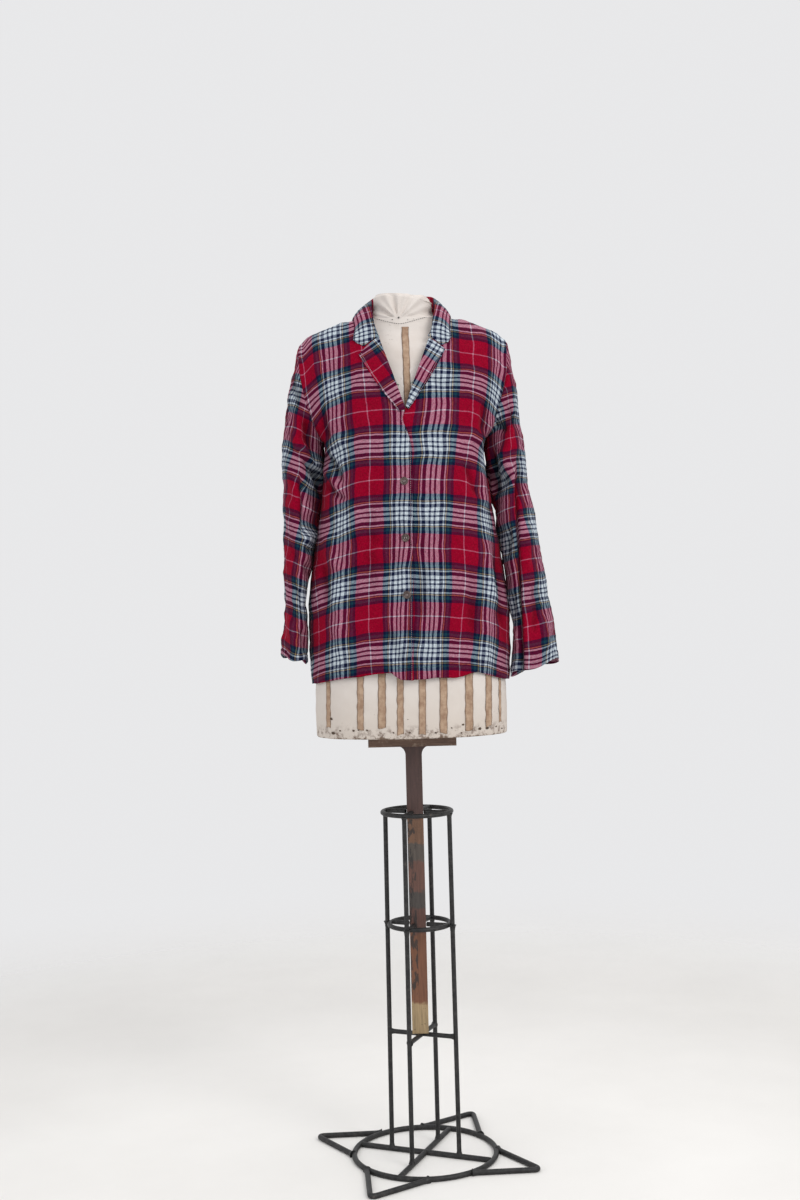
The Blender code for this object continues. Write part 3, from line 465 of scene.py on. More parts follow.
# How far the front hem lies above its plain line, at distances out.
HEM_TOP = 0.96
HEM_EASE = 0.06
HEM = {
    -1: millimetres(
        "out rise",
        (-20, -12), (0, -14), (18, -12), (27, -6), (34, 1), (60, 1), (90, -1), (120, 0),
        (168, -1),
    ),
    1: millimetres(
        "out rise",
        (-20, -12), (0, -13), (28, -12), (42, -9), (52, -9), (78, -8), (92, -4), (105, 2),
        (118, 6), (130, 4), (150, 1), (168, -1),
    ),
}
# The open space between each sleeve and the body, down the sleeve.
SLEEVE_GAP = {
    -1: millimetres(
        "z gap",
        (1345, -1), (1205, -0.5), (1095, 0), (1070, 4.5), (1020, 7), (1000, 2), (960, 0.8),
        (930, 4), (900, 6),
    ),
    1: millimetres(
        "z gap",
        (1345, -1), (1205, 0), (1185, 5), (1160, 2), (1130, 0.5), (1010, 0.5), (985, 4),
        (930, 5), (900, 1),
    ),
}
# How far the shoulders stand above their plain slope, at distances out.
SHOULDER_RISE = millimetres(
    "out rise",
    (90, 0), (102, 5.5), (112, 8.5), (130, 7.5), (150, 7), (165, 6), (175, 4), (181, 0),
    (188, -4), (196, -5),
)
RISE_REACH = 0.060        # from the seam to where the rise ends, to the front and back
SLEEVE_CLEAR = 0.0018     # from the body's cut edge to a sleeve that touches it
# The deep crease down the front of each sleeve: heights of its ends, distance out, depth,
# and the cloth that it hides, across the stripes and along them.
TUCK_WIDTH = 0.0045
SLEEVE_TUCK = {
    -1: {"top": 1.27, "end": 1.14, "out": 0.1915, "depth": 0.005, "u": 0.020, "v": 0.012},
    1: {"top": 1.27, "end": 0.86, "out": 0.2010, "depth": 0.009, "u": 0.027, "v": 0.018},
}


# ---------------------------------------------------------------- curves
def slopes(values):
    """Slopes of a smooth curve at its rows, none where the values turn back."""
    rise = np.diff(values, axis=0)
    steepest = 3 * np.minimum(abs(rise[1:]), abs(rise[:-1]))
    middle = np.clip((rise[1:] + rise[:-1]) / 2, -steepest, steepest)
    middle = np.where(rise[1:] * rise[:-1] > 0, middle, 0.0)
    return np.concatenate([rise[:1], middle, rise[-1:]])


def spline(values, position):
    """Smooth values at fractional row numbers, the rows running along the first axis."""
    values = np.asarray(values, float)
    position = np.asarray(position, float)
    row = np.clip(position.astype(int), 0, len(values) - 2)
    t = position - row
    slope = slopes(values)
    if values.ndim == 1:
        start, end, leave, arrive = values[row], values[row + 1], slope[row], slope[row + 1]
    else:
        more = (1,) * (values.ndim - 1 - position.ndim)
        row = np.broadcast_to(row.reshape(row.shape + more), values.shape[1:])[None]
        t = t.reshape(t.shape + more)
        start, end = (np.take_along_axis(values, row + i, 0)[0] for i in (0, 1))
        leave, arrive = (np.take_along_axis(slope, row + i, 0)[0] for i in (0, 1))
    bend = (start - end) * 2 + leave + arrive
    turn = (end - start) * 3 - leave * 2 - arrive
    return start + leave * t + turn * t ** 2 + bend * t ** 3


def down_table(rows, key, where, column):
    """A column at a falling key, straight between the rows."""
    return np.interp(-where, -rows[key], rows[column])


def placed(levels, stops, where):
    """The level at a place among stops that rise along the first axis, going on past the ends."""
    levels = np.asarray(levels, float)
    row = np.clip((where > stops[1:-1]).sum(axis=0), 0, len(levels) - 2)
    low = np.take_along_axis(stops, row[None], 0)[0]
    high = np.take_along_axis(stops, row[None] + 1, 0)[0]
    return levels[row] + (levels[row + 1] - levels[row]) * (where - low) / (high - low)


def eased(share):
    """From 0 to 1 with a soft start and end."""
    share = np.clip(share, 0, 1)
    return share * share * (3 - 2 * share)


def cumulative(points, axis):
    """Distance along a grid's lines, from their first points."""
    steps = np.linalg.norm(np.diff(points, axis=axis), axis=-1)
    pad = [(0, 0)] * steps.ndim
    pad[axis] = (1, 0)
    return np.pad(np.cumsum(steps, axis=axis), pad)


def unit(vectors):
    length = np.linalg.norm(vectors, axis=-1, keepdims=True)
    return vectors / np.maximum(length, 1e-12)


def normals(points, closed=False):
    """Outward normals of a grid whose rows run down and whose columns run left to right."""
    down = np.gradient(points, axis=0)
    if closed:
        across = np.roll(points, -1, axis=1) - np.roll(points, 1, axis=1)
    else:
        across = np.gradient(points, axis=1)
    return unit(np.cross(down, across))


def ripple(u, v, length, seed, count=7):
    """A smooth uneven field of about unit height: waves of one length in many directions."""
    chance = np.random.default_rng(seed)
    total = np.zeros_like(u)
    for _ in range(count):
        angle = chance.uniform(0, math.pi)
        wave = 2 * math.pi / (length * chance.uniform(0.75, 1.35))
        shift = chance.uniform(0, 2 * math.pi)
        total += np.sin(wave * (u * math.cos(angle) + v * math.sin(angle)) + shift)
    return total / math.sqrt(count)


def rumples(u, v, seed, *waves):
    """Uneven cloth: the height, length and squash down the cloth of each size of wave."""
    return sum(height * ripple(u, v * squash, length, seed + i)
               for i, (height, length, squash) in enumerate(waves))


def creases(x, z, rows):
    """Soft ridges (up) and troughs (down) along short bowed lines, seen from the front."""
    total = np.zeros_like(x)
    for x0, z0, x1, z1, height, width, bow in zip(*rows.values()):
        dx, dz = x1 - x0, z1 - z0
        length = math.hypot(dx, dz)
        share = ((x - x0) * dx + (z - z0) * dz) / length ** 2
        aside = ((x - x0) * dz - (z - z0) * dx) / length
        aside -= bow * np.sin(math.pi * np.clip(share, 0, 1))
        taper = eased((share + 0.15) / 0.4) * eased((1.15 - share) / 0.4)
        total += height * taper * np.exp(-(aside / width) ** 2)
    return total


# ---------------------------------------------------------------- body surface
def row_points(rows, share, side):
    """Points of every row at each share of the way from the centre (0) to the seam (1)."""
    lift = (slice(None),) + (None,) * share.ndim
    end = np.radians(SEAM_LINE["end"])[lift]
    reach = np.sin(share * end) / np.sin(end)
    square = rows["square"][lift]
    z_mid, y_seam = rows["z_mid"][lift], rows["y_seam"][lift]
    z = z_mid + (SEAM_LINE["z"][lift] - z_mid) * abs(reach) ** rows["bow"][lift]
    at_seam = np.maximum(np.cos(end), 0.0) ** square
    depth = (np.maximum(np.cos(share * end), 0.0) ** square - at_seam) / (1 - at_seam)
    y = y_seam + (rows["y_mid"][lift] - y_seam) * depth
    x = BODY_X + side * SEAM_LINE["x"][lift] * reach
    points = np.stack([x, y, z], axis=-1)
    if rows is BACK_ROWS:
        across = abs(points[0, ..., 0] - BODY_X) / NECK_X
        round_back = np.sqrt(np.clip(1 - across ** 2, 0, 1))
        shoulder = SHOULDER_Z - SHOULDER_SLOPE * (NECK_X - SHOULDER_X)
        inside = across < 1
        points[0, ..., 1] = np.where(inside, SEAM_Y + NECK_DEPTH * round_back, points[0, ..., 1])
        points[0, ..., 2] = np.where(inside, shoulder + NECK_RISE * round_back, points[0, ..., 2])
    return points


def body(rows, position, share, side):
    """Points of a panel's inner face at fractional rows and shares of the same shape."""
    return spline(row_points(rows, share, side), position)


def even_positions(rows, share, step):
    """Fractional rows, evenly spaced down a panel at one share."""
    trial = np.linspace(0, len(SEAM_LINE["z"]) - 1, 800)
    line = body(rows, trial, np.full_like(trial, share), 1)
    length = cumulative(line, 0)
    count = int(round(length[-1] / step))
    return np.interp(np.linspace(0, length[-1], count + 1), length, trial)


def share_at(position, side, x):
    """The share of the way to the seam at which a row has a distance from BODY_X."""
    half_width = spline(SEAM_LINE["x"], position)
    end = np.radians(spline(SEAM_LINE["end"], position))
    return np.arcsin(np.clip(side * x / half_width * np.sin(end), -1, 1)) / end


def edge_share(position, side):
    """The share at which each row meets the front's inner edge, its corners eased."""
    share = np.full_like(position, 0.1)
    for _ in range(20):
        z = body(FRONT_ROWS, position, share, side)[..., 2]
        eases = (-0.006, -0.003, 0.0, 0.003, 0.006)
        x = np.mean([down_table(EDGES[side], "z", z + ease, "x") for ease in eases], axis=0)
        share = share_at(position, side, x)
    return share


def on_front(side, x, z, out):
    """Points of a front's outer face above (x, z), moved out by a distance."""
    low = np.zeros_like(x)
    high = np.full_like(x, len(FRONT_ROWS["z_mid"]) - 1.0)
    for _ in range(20):
        position = (low + high) / 2
        share = share_at(position, side, x)
        above = body(FRONT_ROWS, position, share, side)[..., 2] > z
        low, high = np.where(above, position, low), np.where(above, high, position)
    point = body(FRONT_ROWS, position, share, side)
    down = body(FRONT_ROWS, position + 0.2, share, side) - point
    across = body(FRONT_ROWS, position, share + 0.05, side) - point
    normal = unit(np.cross(down, across))
    normal *= -np.sign(normal[..., 1:2])
    point = point + normal * np.asarray(WALL + out)[..., None]
    if side < 0:
        point[..., 1] -= CENTRE_LIFT * (1 - share ** 2) ** 2
    return point


# ---------------------------------------------------------------- cloth coordinates
def cross_grain(side, out, z):
    """Cloth coordinate down the body, from the heights in CROSS_Z."""
    station = np.interp(abs(out), CROSS_OUT, np.arange(len(CROSS_OUT)))
    if side:
        heights = CROSS_Z[side]
    else:
        heights = (CROSS_Z[-1] + CROSS_Z[1]) / 2
    stops = np.stack([spline(row, station) for row in heights[::-1]])
    levels = CROSS_TOP - HALF_SETT * np.arange(len(heights))[::-1]
    return placed(levels, stops, z)


def up_grain(side, down, share, z):
    """Cloth coordinate across a front: its stripes lie where STRIPES puts them."""
    shares = np.linspace(-0.3, 1.0, 160)
    position, all_shares = np.broadcast_arrays(down[:, None], shares[None])
    line = body(FRONT_ROWS, position, all_shares, side)
    out, arc = side * (line[..., 0] - BODY_X), cumulative(line, 1)
    levels = list(STRIPE_LEVELS.values())
    result = np.empty_like(share)
    for i in range(len(down)):
        stops = []
        for name, level in STRIPE_LEVELS.items():
            at = down_table(STRIPES[side], "z", z[i], name)
            stop = np.interp(at, out[i], arc[i])
            if stops:
                going_on = stops[-1] + abs(level - STRIPE_LEVELS[before])
                stop = np.where(at > out[i, -1] - 0.001, going_on, stop)
            stops.append(stop)
            before = name
        result[i] = placed(levels, np.stack(stops), np.interp(share[i], shares, arc[i]))
    return result


# ---------------------------------------------------------------- cloth meshes
def grid_faces(points, closed=False, looped=False):
    """Quads of a grid of points: its last column joined to the first if closed, and its
    last row if looped."""
    rows, columns = points.shape[:2]
    index = np.arange(rows * columns).reshape(rows, columns)
    if closed:
        index = np.concatenate([index, index[:, :1]], axis=1)
    if looped:
        index = np.concatenate([index, index[:1]])
    quads = (index[:-1, :-1], index[1:, :-1], index[1:, 1:], index[:-1, 1:])
    return np.stack(quads, axis=-1).reshape(-1, 4).tolist()


def solid(points, looped=False):
    """Vertices and faces of a closed grid of points, capped at both ends unless looped."""
    faces = grid_faces(points, closed=True, looped=looped)
    if not looped:
        rows, columns = points.shape[:2]
        last = rows * columns - 1
        faces += [list(range(columns)), list(range(last, last - columns, -1))]
    return points.reshape(-1, 3), faces


def add_object(name, mesh, finish):
    """Puts a mesh in the scene with its material."""
    item = bpy.data.objects.new(name, mesh)
    mesh.materials.append(finish)
    bpy.context.scene.collection.objects.link(item)
    return item


def with_wall(piece, thickness):
    """Gives a surface a thickness, half of it to each side."""
    wall = piece.modifiers.new("wall", "SOLIDIFY")
    wall.thickness = thickness
    wall.offset = 0.0
    return piece


def join_parts(name, parts, finish, sharp=45):
    """One object from parts that are vertices and faces, its edges sharp past an angle."""
    verts, faces, offset = [], [], 0
    for part_verts, part_faces in parts:
        verts.append(part_verts)
        faces += [[i + offset for i in face] for face in part_faces]
        offset += len(part_verts)
    mesh = bpy.data.meshes.new(name)
    mesh.from_pydata(np.concatenate(verts).tolist(), [], faces)
    mesh.shade_smooth()
    if sharp:
        mesh.set_sharp_from_angle(angle=math.radians(sharp))
    return add_object(name, mesh, finish)


def cloth_object(name, grid, thickness, closed):
    """A thin shell through a grid of points, its cloth coordinates in a UV map. A closed
    grid has one more column of coordinates than of points. The height of its creases is
    kept as an attribute."""
    points = grid["points"]
    mesh = bpy.data.meshes.new(name)
    mesh.from_pydata(points.reshape(-1, 3).tolist(), [], grid_faces(points, closed))
    lie = np.stack([grid["u"], grid["v"]], axis=-1)
    corners = np.stack([lie[:-1, :-1], lie[1:, :-1], lie[1:, 1:], lie[:-1, 1:]], axis=2)
    layer = mesh.uv_layers.new(name="cloth")
    layer.data.foreach_set("uv", corners.astype(np.float32).ravel())
    # The crease height is kept for the flannel's painted shade in troughs.
    if "height" in grid:
        kept = mesh.attributes.new("crease", "FLOAT", "POINT")
        kept.data.foreach_set("value", grid["height"].ravel())
    mesh.shade_smooth()
    return with_wall(add_object(name, mesh, FLANNEL), thickness)


def relief(x, z, share, rows, seed):
    """Creases from a table with a gentle unevenness, and a groove at the seams."""
    height = CREASE_GAIN * creases(x, z, rows)
    calm = np.clip((1.52 - z) / 0.10, 0.3, 1)
    height += rumples(x, z, seed, (0.0008 * calm, 0.085, 0.6), (0.0005, 0.033, 0.8),
                      (0.0002, 0.013, 1.0))
    height -= 0.0008 * np.exp(-((1 - abs(share)) / 0.010) ** 2)
    room = np.interp(z, (0.94, 1.00, 1.28, 1.42), (0.0025, 0.007, 0.007, 0.002))
    return np.maximum(height, -room)


def shoulder_normals(outward, down):
    """The normals, turned to the shoulder seam's own direction near it."""
    side = np.sign(outward[0, :, 0])
    out, up = SEAM_NORMAL
    seam = np.stack([side * out, 0 * side, 0 * side + up], axis=-1)
    share = eased(1 - down / SEAM_EASE)[:, None, None]
    return unit(outward * (1 - share) + seam[None] * share)


def front_grid(side, rows, seed):
    """One front, its columns left to right: points, cloth coordinates, the place of its
    rows in the tables, and the height of its creases."""
    down = even_positions(FRONT_ROWS, 0.5, FINE)
    start = edge_share(down, side)
    share = start[:, None] + (1 - start[:, None]) * np.linspace(0, 1, FRONT_COLUMNS)
    position = np.broadcast_to(down[:, None], share.shape)
    points = body(FRONT_ROWS, position, share, side)
    out = side * (points[..., 0] - BODY_X)
    rise = np.interp(out, HEM[side]["out"], HEM[side]["rise"])
    points[..., 2] += rise * eased((HEM_TOP - points[..., 2]) / HEM_EASE)
    z = points[..., 2].copy()
    u = up_grain(side, down, share, z)
    v = cross_grain(side, out, z)
    lift = CENTRE_LIFT if side < 0 else 0.0
    points[..., 1] -= lift * (1 - share ** 2) ** 2
    if side < 0:
        points, u, v, share, out = (a[:, ::-1] for a in (points, u, v, share, out))
    outward = shoulder_normals(normals(points), down)
    height = relief(points[..., 0], points[..., 2], share, rows, seed)
    return {"u": u, "v": v, **raised(points, outward, height, down)}


def raised(points, outward, height, down):
    """A panel's points with its relief, its turned hem and its shoulders over the pads."""
    last = len(SEAM_LINE["z"]) - 1
    height = height + turned_edge((last - down[:, None]) * BODY_ROWS_APART, *TURNED_HEM)
    points = points + outward * (CLOTH_OUT + height)[..., None]
    rise = np.interp(abs(points[..., 0] - BODY_X), SHOULDER_RISE["out"], SHOULDER_RISE["rise"])
    points[..., 2] += rise * eased(1 - abs(points[..., 1] - SEAM_Y) / RISE_REACH)
    return {"points": points, "down": down, "height": height}


def turned_edge(from_edge, depth, seam):
    """The thickness of a hem or cuff that is turned in, with its sunk line of stitches."""
    band = 0.0005 * eased((depth - from_edge) / 0.002)
    return band - 0.0005 * np.exp(-((from_edge - seam) / 0.0012) ** 2)


def back_grid(rows, seed):
    """The back, its columns from the wearer's left to right, as front_grid gives a front."""
    down = even_positions(BACK_ROWS, 0.5, BACK_FINE)
    share, position = np.broadcast_arrays(np.linspace(1, -1, BACK_COLUMNS)[None], down[:, None])
    points = body(BACK_ROWS, position, share, 1)
    out, z = points[..., 0] - BODY_X, points[..., 2].copy()
    arc = cumulative(points, 1)
    middle = slice(BACK_COLUMNS // 2 - 1, BACK_COLUMNS // 2 + 1)
    u = arc - arc[:, middle].mean(axis=1, keepdims=True) + BACK_LAY
    v = cross_grain(0, out, z)
    outward = shoulder_normals(normals(points), down)
    neck = (abs(out[:1]) < NECK_X) * eased(1 - down / SEAM_EASE)[:, None]
    outward = unit(outward * (1 - neck[..., None]) + normals(points) * neck[..., None])
    height = relief(-points[..., 0], points[..., 2], share, rows, seed)
    return {"u": u, "v": v, **raised(points, outward, height, down)}


# ---------------------------------------------------------------- sleeves
def armhole_ring(turns, side, front, back):
    """The sewn edge of a sleeve: the outer edges of the front and back."""
    half = turns / math.pi
    position = ARMHOLE_ROWS * np.minimum(half, 2.0 - half)
    ring = np.empty(turns.shape + (3,))
    front_edge = front["points"][:, 0 if side < 0 else -1]
    back_edge = back["points"][:, -1 if side < 0 else 0]
    for axis in range(3):
        on_the_front = np.interp(position, front["down"], front_edge[:, axis])
        on_the_back = np.interp(position, back["down"], back_edge[:, axis])
        ring[..., axis] = np.where(half <= 1, on_the_front, on_the_back)
    underarm = (position / ARMHOLE_ROWS) ** 2
    ring[..., 0] += side * CLOTH * underarm
    return ring


def sleeve_grid(side, front, back, rows, seed):
    """One sleeve from the underarm seam round by the back and outer side to the front."""
    turns = math.pi + 2 * math.pi * np.arange(SLEEVE_SIDES) / SLEEVE_SIDES
    shape = SLEEVE_ROWS[side]
    rings = [armhole_ring(turns % (2 * math.pi), side, front, back)]
    for x_out, z_out, x_in, z_in, depth, y, bulge, skew in zip(*shape.values()):
        share = (1 + np.cos(turns)) / 2
        x = x_in + (x_out - x_in) * share + bulge * np.sin(turns) ** 2 - skew * np.sin(turns)
        z = z_in + (z_out - z_in) * share
        rings.append(np.stack([BODY_X + side * x, y - depth * np.sin(turns), z], axis=-1))
    rings = np.stack(rings)
    trial = np.linspace(0, len(rings) - 1, 900)
    foremost = rings[:, None, SLEEVE_SIDES * 3 // 4]
    along_front = spline(np.broadcast_to(foremost, (len(rings), len(trial), 3)), trial)
    length = cumulative(along_front, 0)
    even = np.linspace(0, length[-1], SLEEVE_RINGS)
    down = np.interp(even, length, trial)
    position = np.broadcast_to(down[:, None], (len(down), SLEEVE_SIDES))
    points = spline(np.broadcast_to(rings[:, None], (len(rings),) + position.shape + (3,)), position)
    out, z = side * (points[..., 0] - BODY_X), points[..., 2]
    nearest = out.argmin(axis=1)[:, None]
    z_in = np.take_along_axis(z, nearest, 1)
    beside = down_table(SEAM_LINE, "z", z_in, "x") + down_table(SLEEVE_GAP[side], "z", z_in, "gap")
    inner = ((1 - np.cos(turns)) / 2) ** 1.5
    apart = np.take_along_axis(out, nearest, 1) - beside - SLEEVE_CLEAR
    points[..., 0] -= side * inner * apart * eased((down[:, None] - 0.2) / 0.6)
    middle = points.mean(axis=1, keepdims=True)
    inwards = (middle - points) * (1, 1, 0)
    depth = np.zeros_like(position)
    for ring, angle, deep, spread, degrees in zip(*SLEEVE_FOLDS.values()):
        aside = (np.degrees(turns) - angle + 180) % 360 - 180
        bump = -((down - ring) / spread)[:, None] ** 2 - (aside / degrees)[None] ** 2
        depth += deep * np.exp(bump)
    points = points + unit(inwards) * depth[..., None]
    out, z = side * (points[..., 0] - BODY_X), points[..., 2]
    in_front = eased(np.sin(turns) * 4)[None] * np.ones_like(z)
    tuck = SLEEVE_TUCK[side]
    window = eased((tuck["top"] - z) / 0.05) * eased((z - tuck["end"]) / 0.03) * in_front
    within = eased((tuck["out"] - out) / 0.004 + 0.5) * window
    u, v = sleeve_grain(side, turns, points, out, z, within)
    if side > 0:
        points, out, z, in_front, window, u, v = (
            a[:, ::-1] for a in (points, out, z, in_front, window, u, v))
    fade = eased(even / 0.006)[:, None]
    inner_side = out < out.mean(axis=1, keepdims=True)
    facing = np.where(inner_side, eased(1.6 * abs(normals(points, closed=True)[..., 1])), 1.0)
    height = CREASE_GAIN * creases(out, z, rows) * in_front * facing
    height += CREASE_GAIN * creases(out, z, BACK_SLEEVE_CREASES) * (1 - in_front) * facing
    height -= tuck["depth"] * window * np.exp(-((out - tuck["out"]) / TUCK_WIDTH) ** 2)
    height += rumples(points[..., 1] + out, z, seed, (0.0012, 0.055, 0.8), (0.0006, 0.025, 1.0),
                      (0.0003, 0.012, 1.0))
    from_end = (len(rings) - 1 - down)[:, None] * SLEEVE_ROWS_APART
    height += turned_edge(from_end, *TURNED_CUFF)
    order = turns if side < 0 else turns[::-1]
    points = points + normals(points, closed=True) * ((CLOTH_OUT + height) * fade)[..., None]
    points[..., 2] += 0.004 * np.sin(order * 3 + 1.0) * eased(1 - from_end / 0.05)
    return {"points": points, "u": u, "v": v, "height": height * fade}


def sleeve_grain(side, turns, points, out, z, within):
    """Cloth coordinates of a sleeve, with one more column that closes it at its seam."""
    ring = np.concatenate([points, points[:, :1]], axis=1)
    arc = cumulative(ring, 1)
    front = np.arange(len(turns) * 3 // 4, len(turns) + 1)
    u = np.empty_like(arc)
    for i in range(len(arc)):
        x = side * (ring[i, front, 0] - BODY_X)
        height = ring[i, front, 2].mean()
        for _ in range(3):
            at = down_table(SLEEVE_STRIPE[side], "z", height, "out")
            place = np.interp(-at, -x, arc[i, front])
            height = np.interp(place, arc[i, front], ring[i, front, 2])
        u[i] = arc[i] - place + down_table(SLEEVE_STRIPE[side], "z", height, "at")
    if SLEEVE_STRIPE[side]["at"][0] > 0:
        tuck_u = SLEEVE_TUCK[side]["u"] * (within - 1)
    else:
        tuck_u = SLEEVE_TUCK[side]["u"] * within
    u[:, :-1] += tuck_u
    u[:, -1] += tuck_u[:, -1]
    shape = SLEEVE_ROWS[side]
    inward = down_table({"z": shape["z_out"], "x": shape["x_out"]}, "z", z, "x") - out
    v = down_table(SLEEVE_CROSS[side], "z", z, "v") + SLEEVE_FALL[side] * inward
    inner = np.maximum(SLEEVE_TUCK[side]["out"] - out, 0.0)
    v = v + SLEEVE_TUCK[side]["v"] * within + (INNER_FALL - SLEEVE_FALL[1]) * inner * (side > 0)
    v = np.concatenate([v, v[:, :1]], axis=1)
    return u, v


# ---------------------------------------------------------------- collar and lapels
def collar_grid():
    """The collar, foot to roll to outer edge, from its right front end to its left one."""
    columns = 150
    last = len(COLLAR_ROWS["foot_x"]) - 1
    share = np.linspace(-1, 1, 2 * columns + 1)
    spot = {}
    for name, values in COLLAR_ROWS.items():
        flip = -1 if name.endswith("_x") else 1
        both_ways = np.concatenate([values[:0:-1] * flip, values])
        spot[name] = spline(both_ways, last + last * share)
    foot, roll, edge = (
        np.stack([BODY_X + spot[part + "_x"], spot[part + "_y"], spot[part + "_z"]], axis=-1)
        for part in ("foot", "roll", "edge"))
    across_neck = unit((roll - (BODY_X, 0, 0)) * (1, 1, 0))
    foot[:, 0] += COLLAR_SHIFT
    roll[:, 0] += COLLAR_SHIFT
    keys = [foot, foot + (roll - foot) * 0.55, roll + across_neck * ROLL_OUT]
    for width in (0.25, 0.5, 0.75, 1.0):
        swell = math.sin(math.pi * width)
        point = roll + (edge - roll) * width + across_neck * (FALL_OUT + COLLAR_SWELL * swell)
        point[:, 2] += COLLAR_CROWN * swell * eased((1 - abs(share)) / 0.12)
        keys.append(point)
    fold, middle = 13, 28     # points of the profile at the fold and half way down the fall
    profile = np.concatenate([np.linspace(0, 2, fold, endpoint=False), np.linspace(2, 6, 34)])
    keys = np.broadcast_to(np.stack(keys)[:, None], (7, len(profile), len(share), 3))
    position = np.broadcast_to(profile[:, None], (len(profile), len(share)))
    points = spline(keys, position)
    across = cumulative(points, 0)
    along = cumulative(points[middle:middle + 1], 1)
    near_end = np.minimum(along, along[:, -1:] - along)
    drop = np.zeros(across.shape)
    for side, part in ((-1, share <= 0), (1, share > 0)):
        dip = np.interp((profile[fold:] - 2) / 4, COLLAR_END[side]["width"], COLLAR_END[side]["dip"])
        drop[fold:, part] = dip[:, None] * eased((abs(share[part]) - 0.90) / 0.10)
        points[fold:, part, 2] -= drop[fold:, part]
        x, y, z = np.moveaxis(points[fold:, part], -1, 0)
        cover = on_front(side, x - BODY_X, z, COLLAR_OUT)[..., 1]
        points[fold:, part, 1] = np.where(y > 0, y, np.minimum(y, cover))
    u = across[-1:] - across + HALF_SETT - COLLAR_LAY
    v = HALF_SETT - (near_end - drop - COLLAR_END_LAY) / COLLAR_SETT
    ends = np.minimum(1, near_end / 0.004)
    outward = -normals(points[::-1])[::-1]
    height = 0.0006 * ripple(along + 0 * across, across, 0.04, 5)
    edge_band = np.exp(-((across[-1:] - across - 0.005) / 0.0012) ** 2)
    height -= 0.0005 * edge_band * ends
    return {"points": points + outward * height[..., None], "u": u, "v": v}


def lapel_grid(side):
    """A lapel folded back on its front, from its roll line to its outer edge."""
    outline = {name: np.array(value) for name, value in LAPELS[side].items()}
    share = np.linspace(0, 1, 76)[:, None]
    roll = outline["end"] + (outline["top"] - outline["end"]) * share
    edge = outline["edge_end"] + (outline["point"] - outline["edge_end"]) * share
    edge[:, :1] += side * outline["belly"] * np.sin(math.pi * share)
    width = np.linspace(0, 1, 30)
    spot = roll[:, None] + (edge - roll)[:, None] * width[None, :, None]
    shortfall = (outline["notch"] - (outline["top"] + outline["point"]) / 2)[1]
    spot[..., 1] += shortfall * np.sin(math.pi * width)[None] * share ** 4
    spring = np.sin(math.pi * np.minimum(1.0, width + 0.25))[None]
    spring = spring * np.sin(math.pi * np.minimum(0.9, share + 0.1))
    out = LAPEL_OUT + LAPEL_ROLL * spring + FACED / 2
    laid = on_front(side, spot[..., 0], spot[..., 1], out)
    towards = unit(laid[:, 0] - laid[:, 1]) * (1, 0, 1)
    start = laid[:, 0]
    under = on_front(side, spot[:, 0, 0], spot[:, 0, 1], -WALL / 2)
    radius = np.linalg.norm(start - under, axis=-1)[:, None] / 2
    centre = (start + under) / 2
    forward = unit(start - under)
    turned = [centre + radius * (forward * math.sin(angle) + towards * math.cos(angle))
              for angle in np.linspace(-0.5, 0.5, 7, endpoint=False) * math.pi]
    points = np.concatenate([np.stack(turned, axis=1), laid], axis=1)
    along_edge = unit(outline["point"] - outline["edge_end"])
    aside = along_edge[::-1] * (-side, side)
    from_front = points[..., [0, 2]] - (BODY_X, 0)
    v = (from_front - outline["pale"]) @ along_edge / COLLAR_SETT
    u = (from_front - outline["edge_end"]) @ aside / LAPEL_SETT + outline["lay"]
    step = 1 if side > 0 else -1
    points, u, v = (a[::-1, ::step] for a in (points, u, v))
    return {"points": points, "u": u, "v": v}


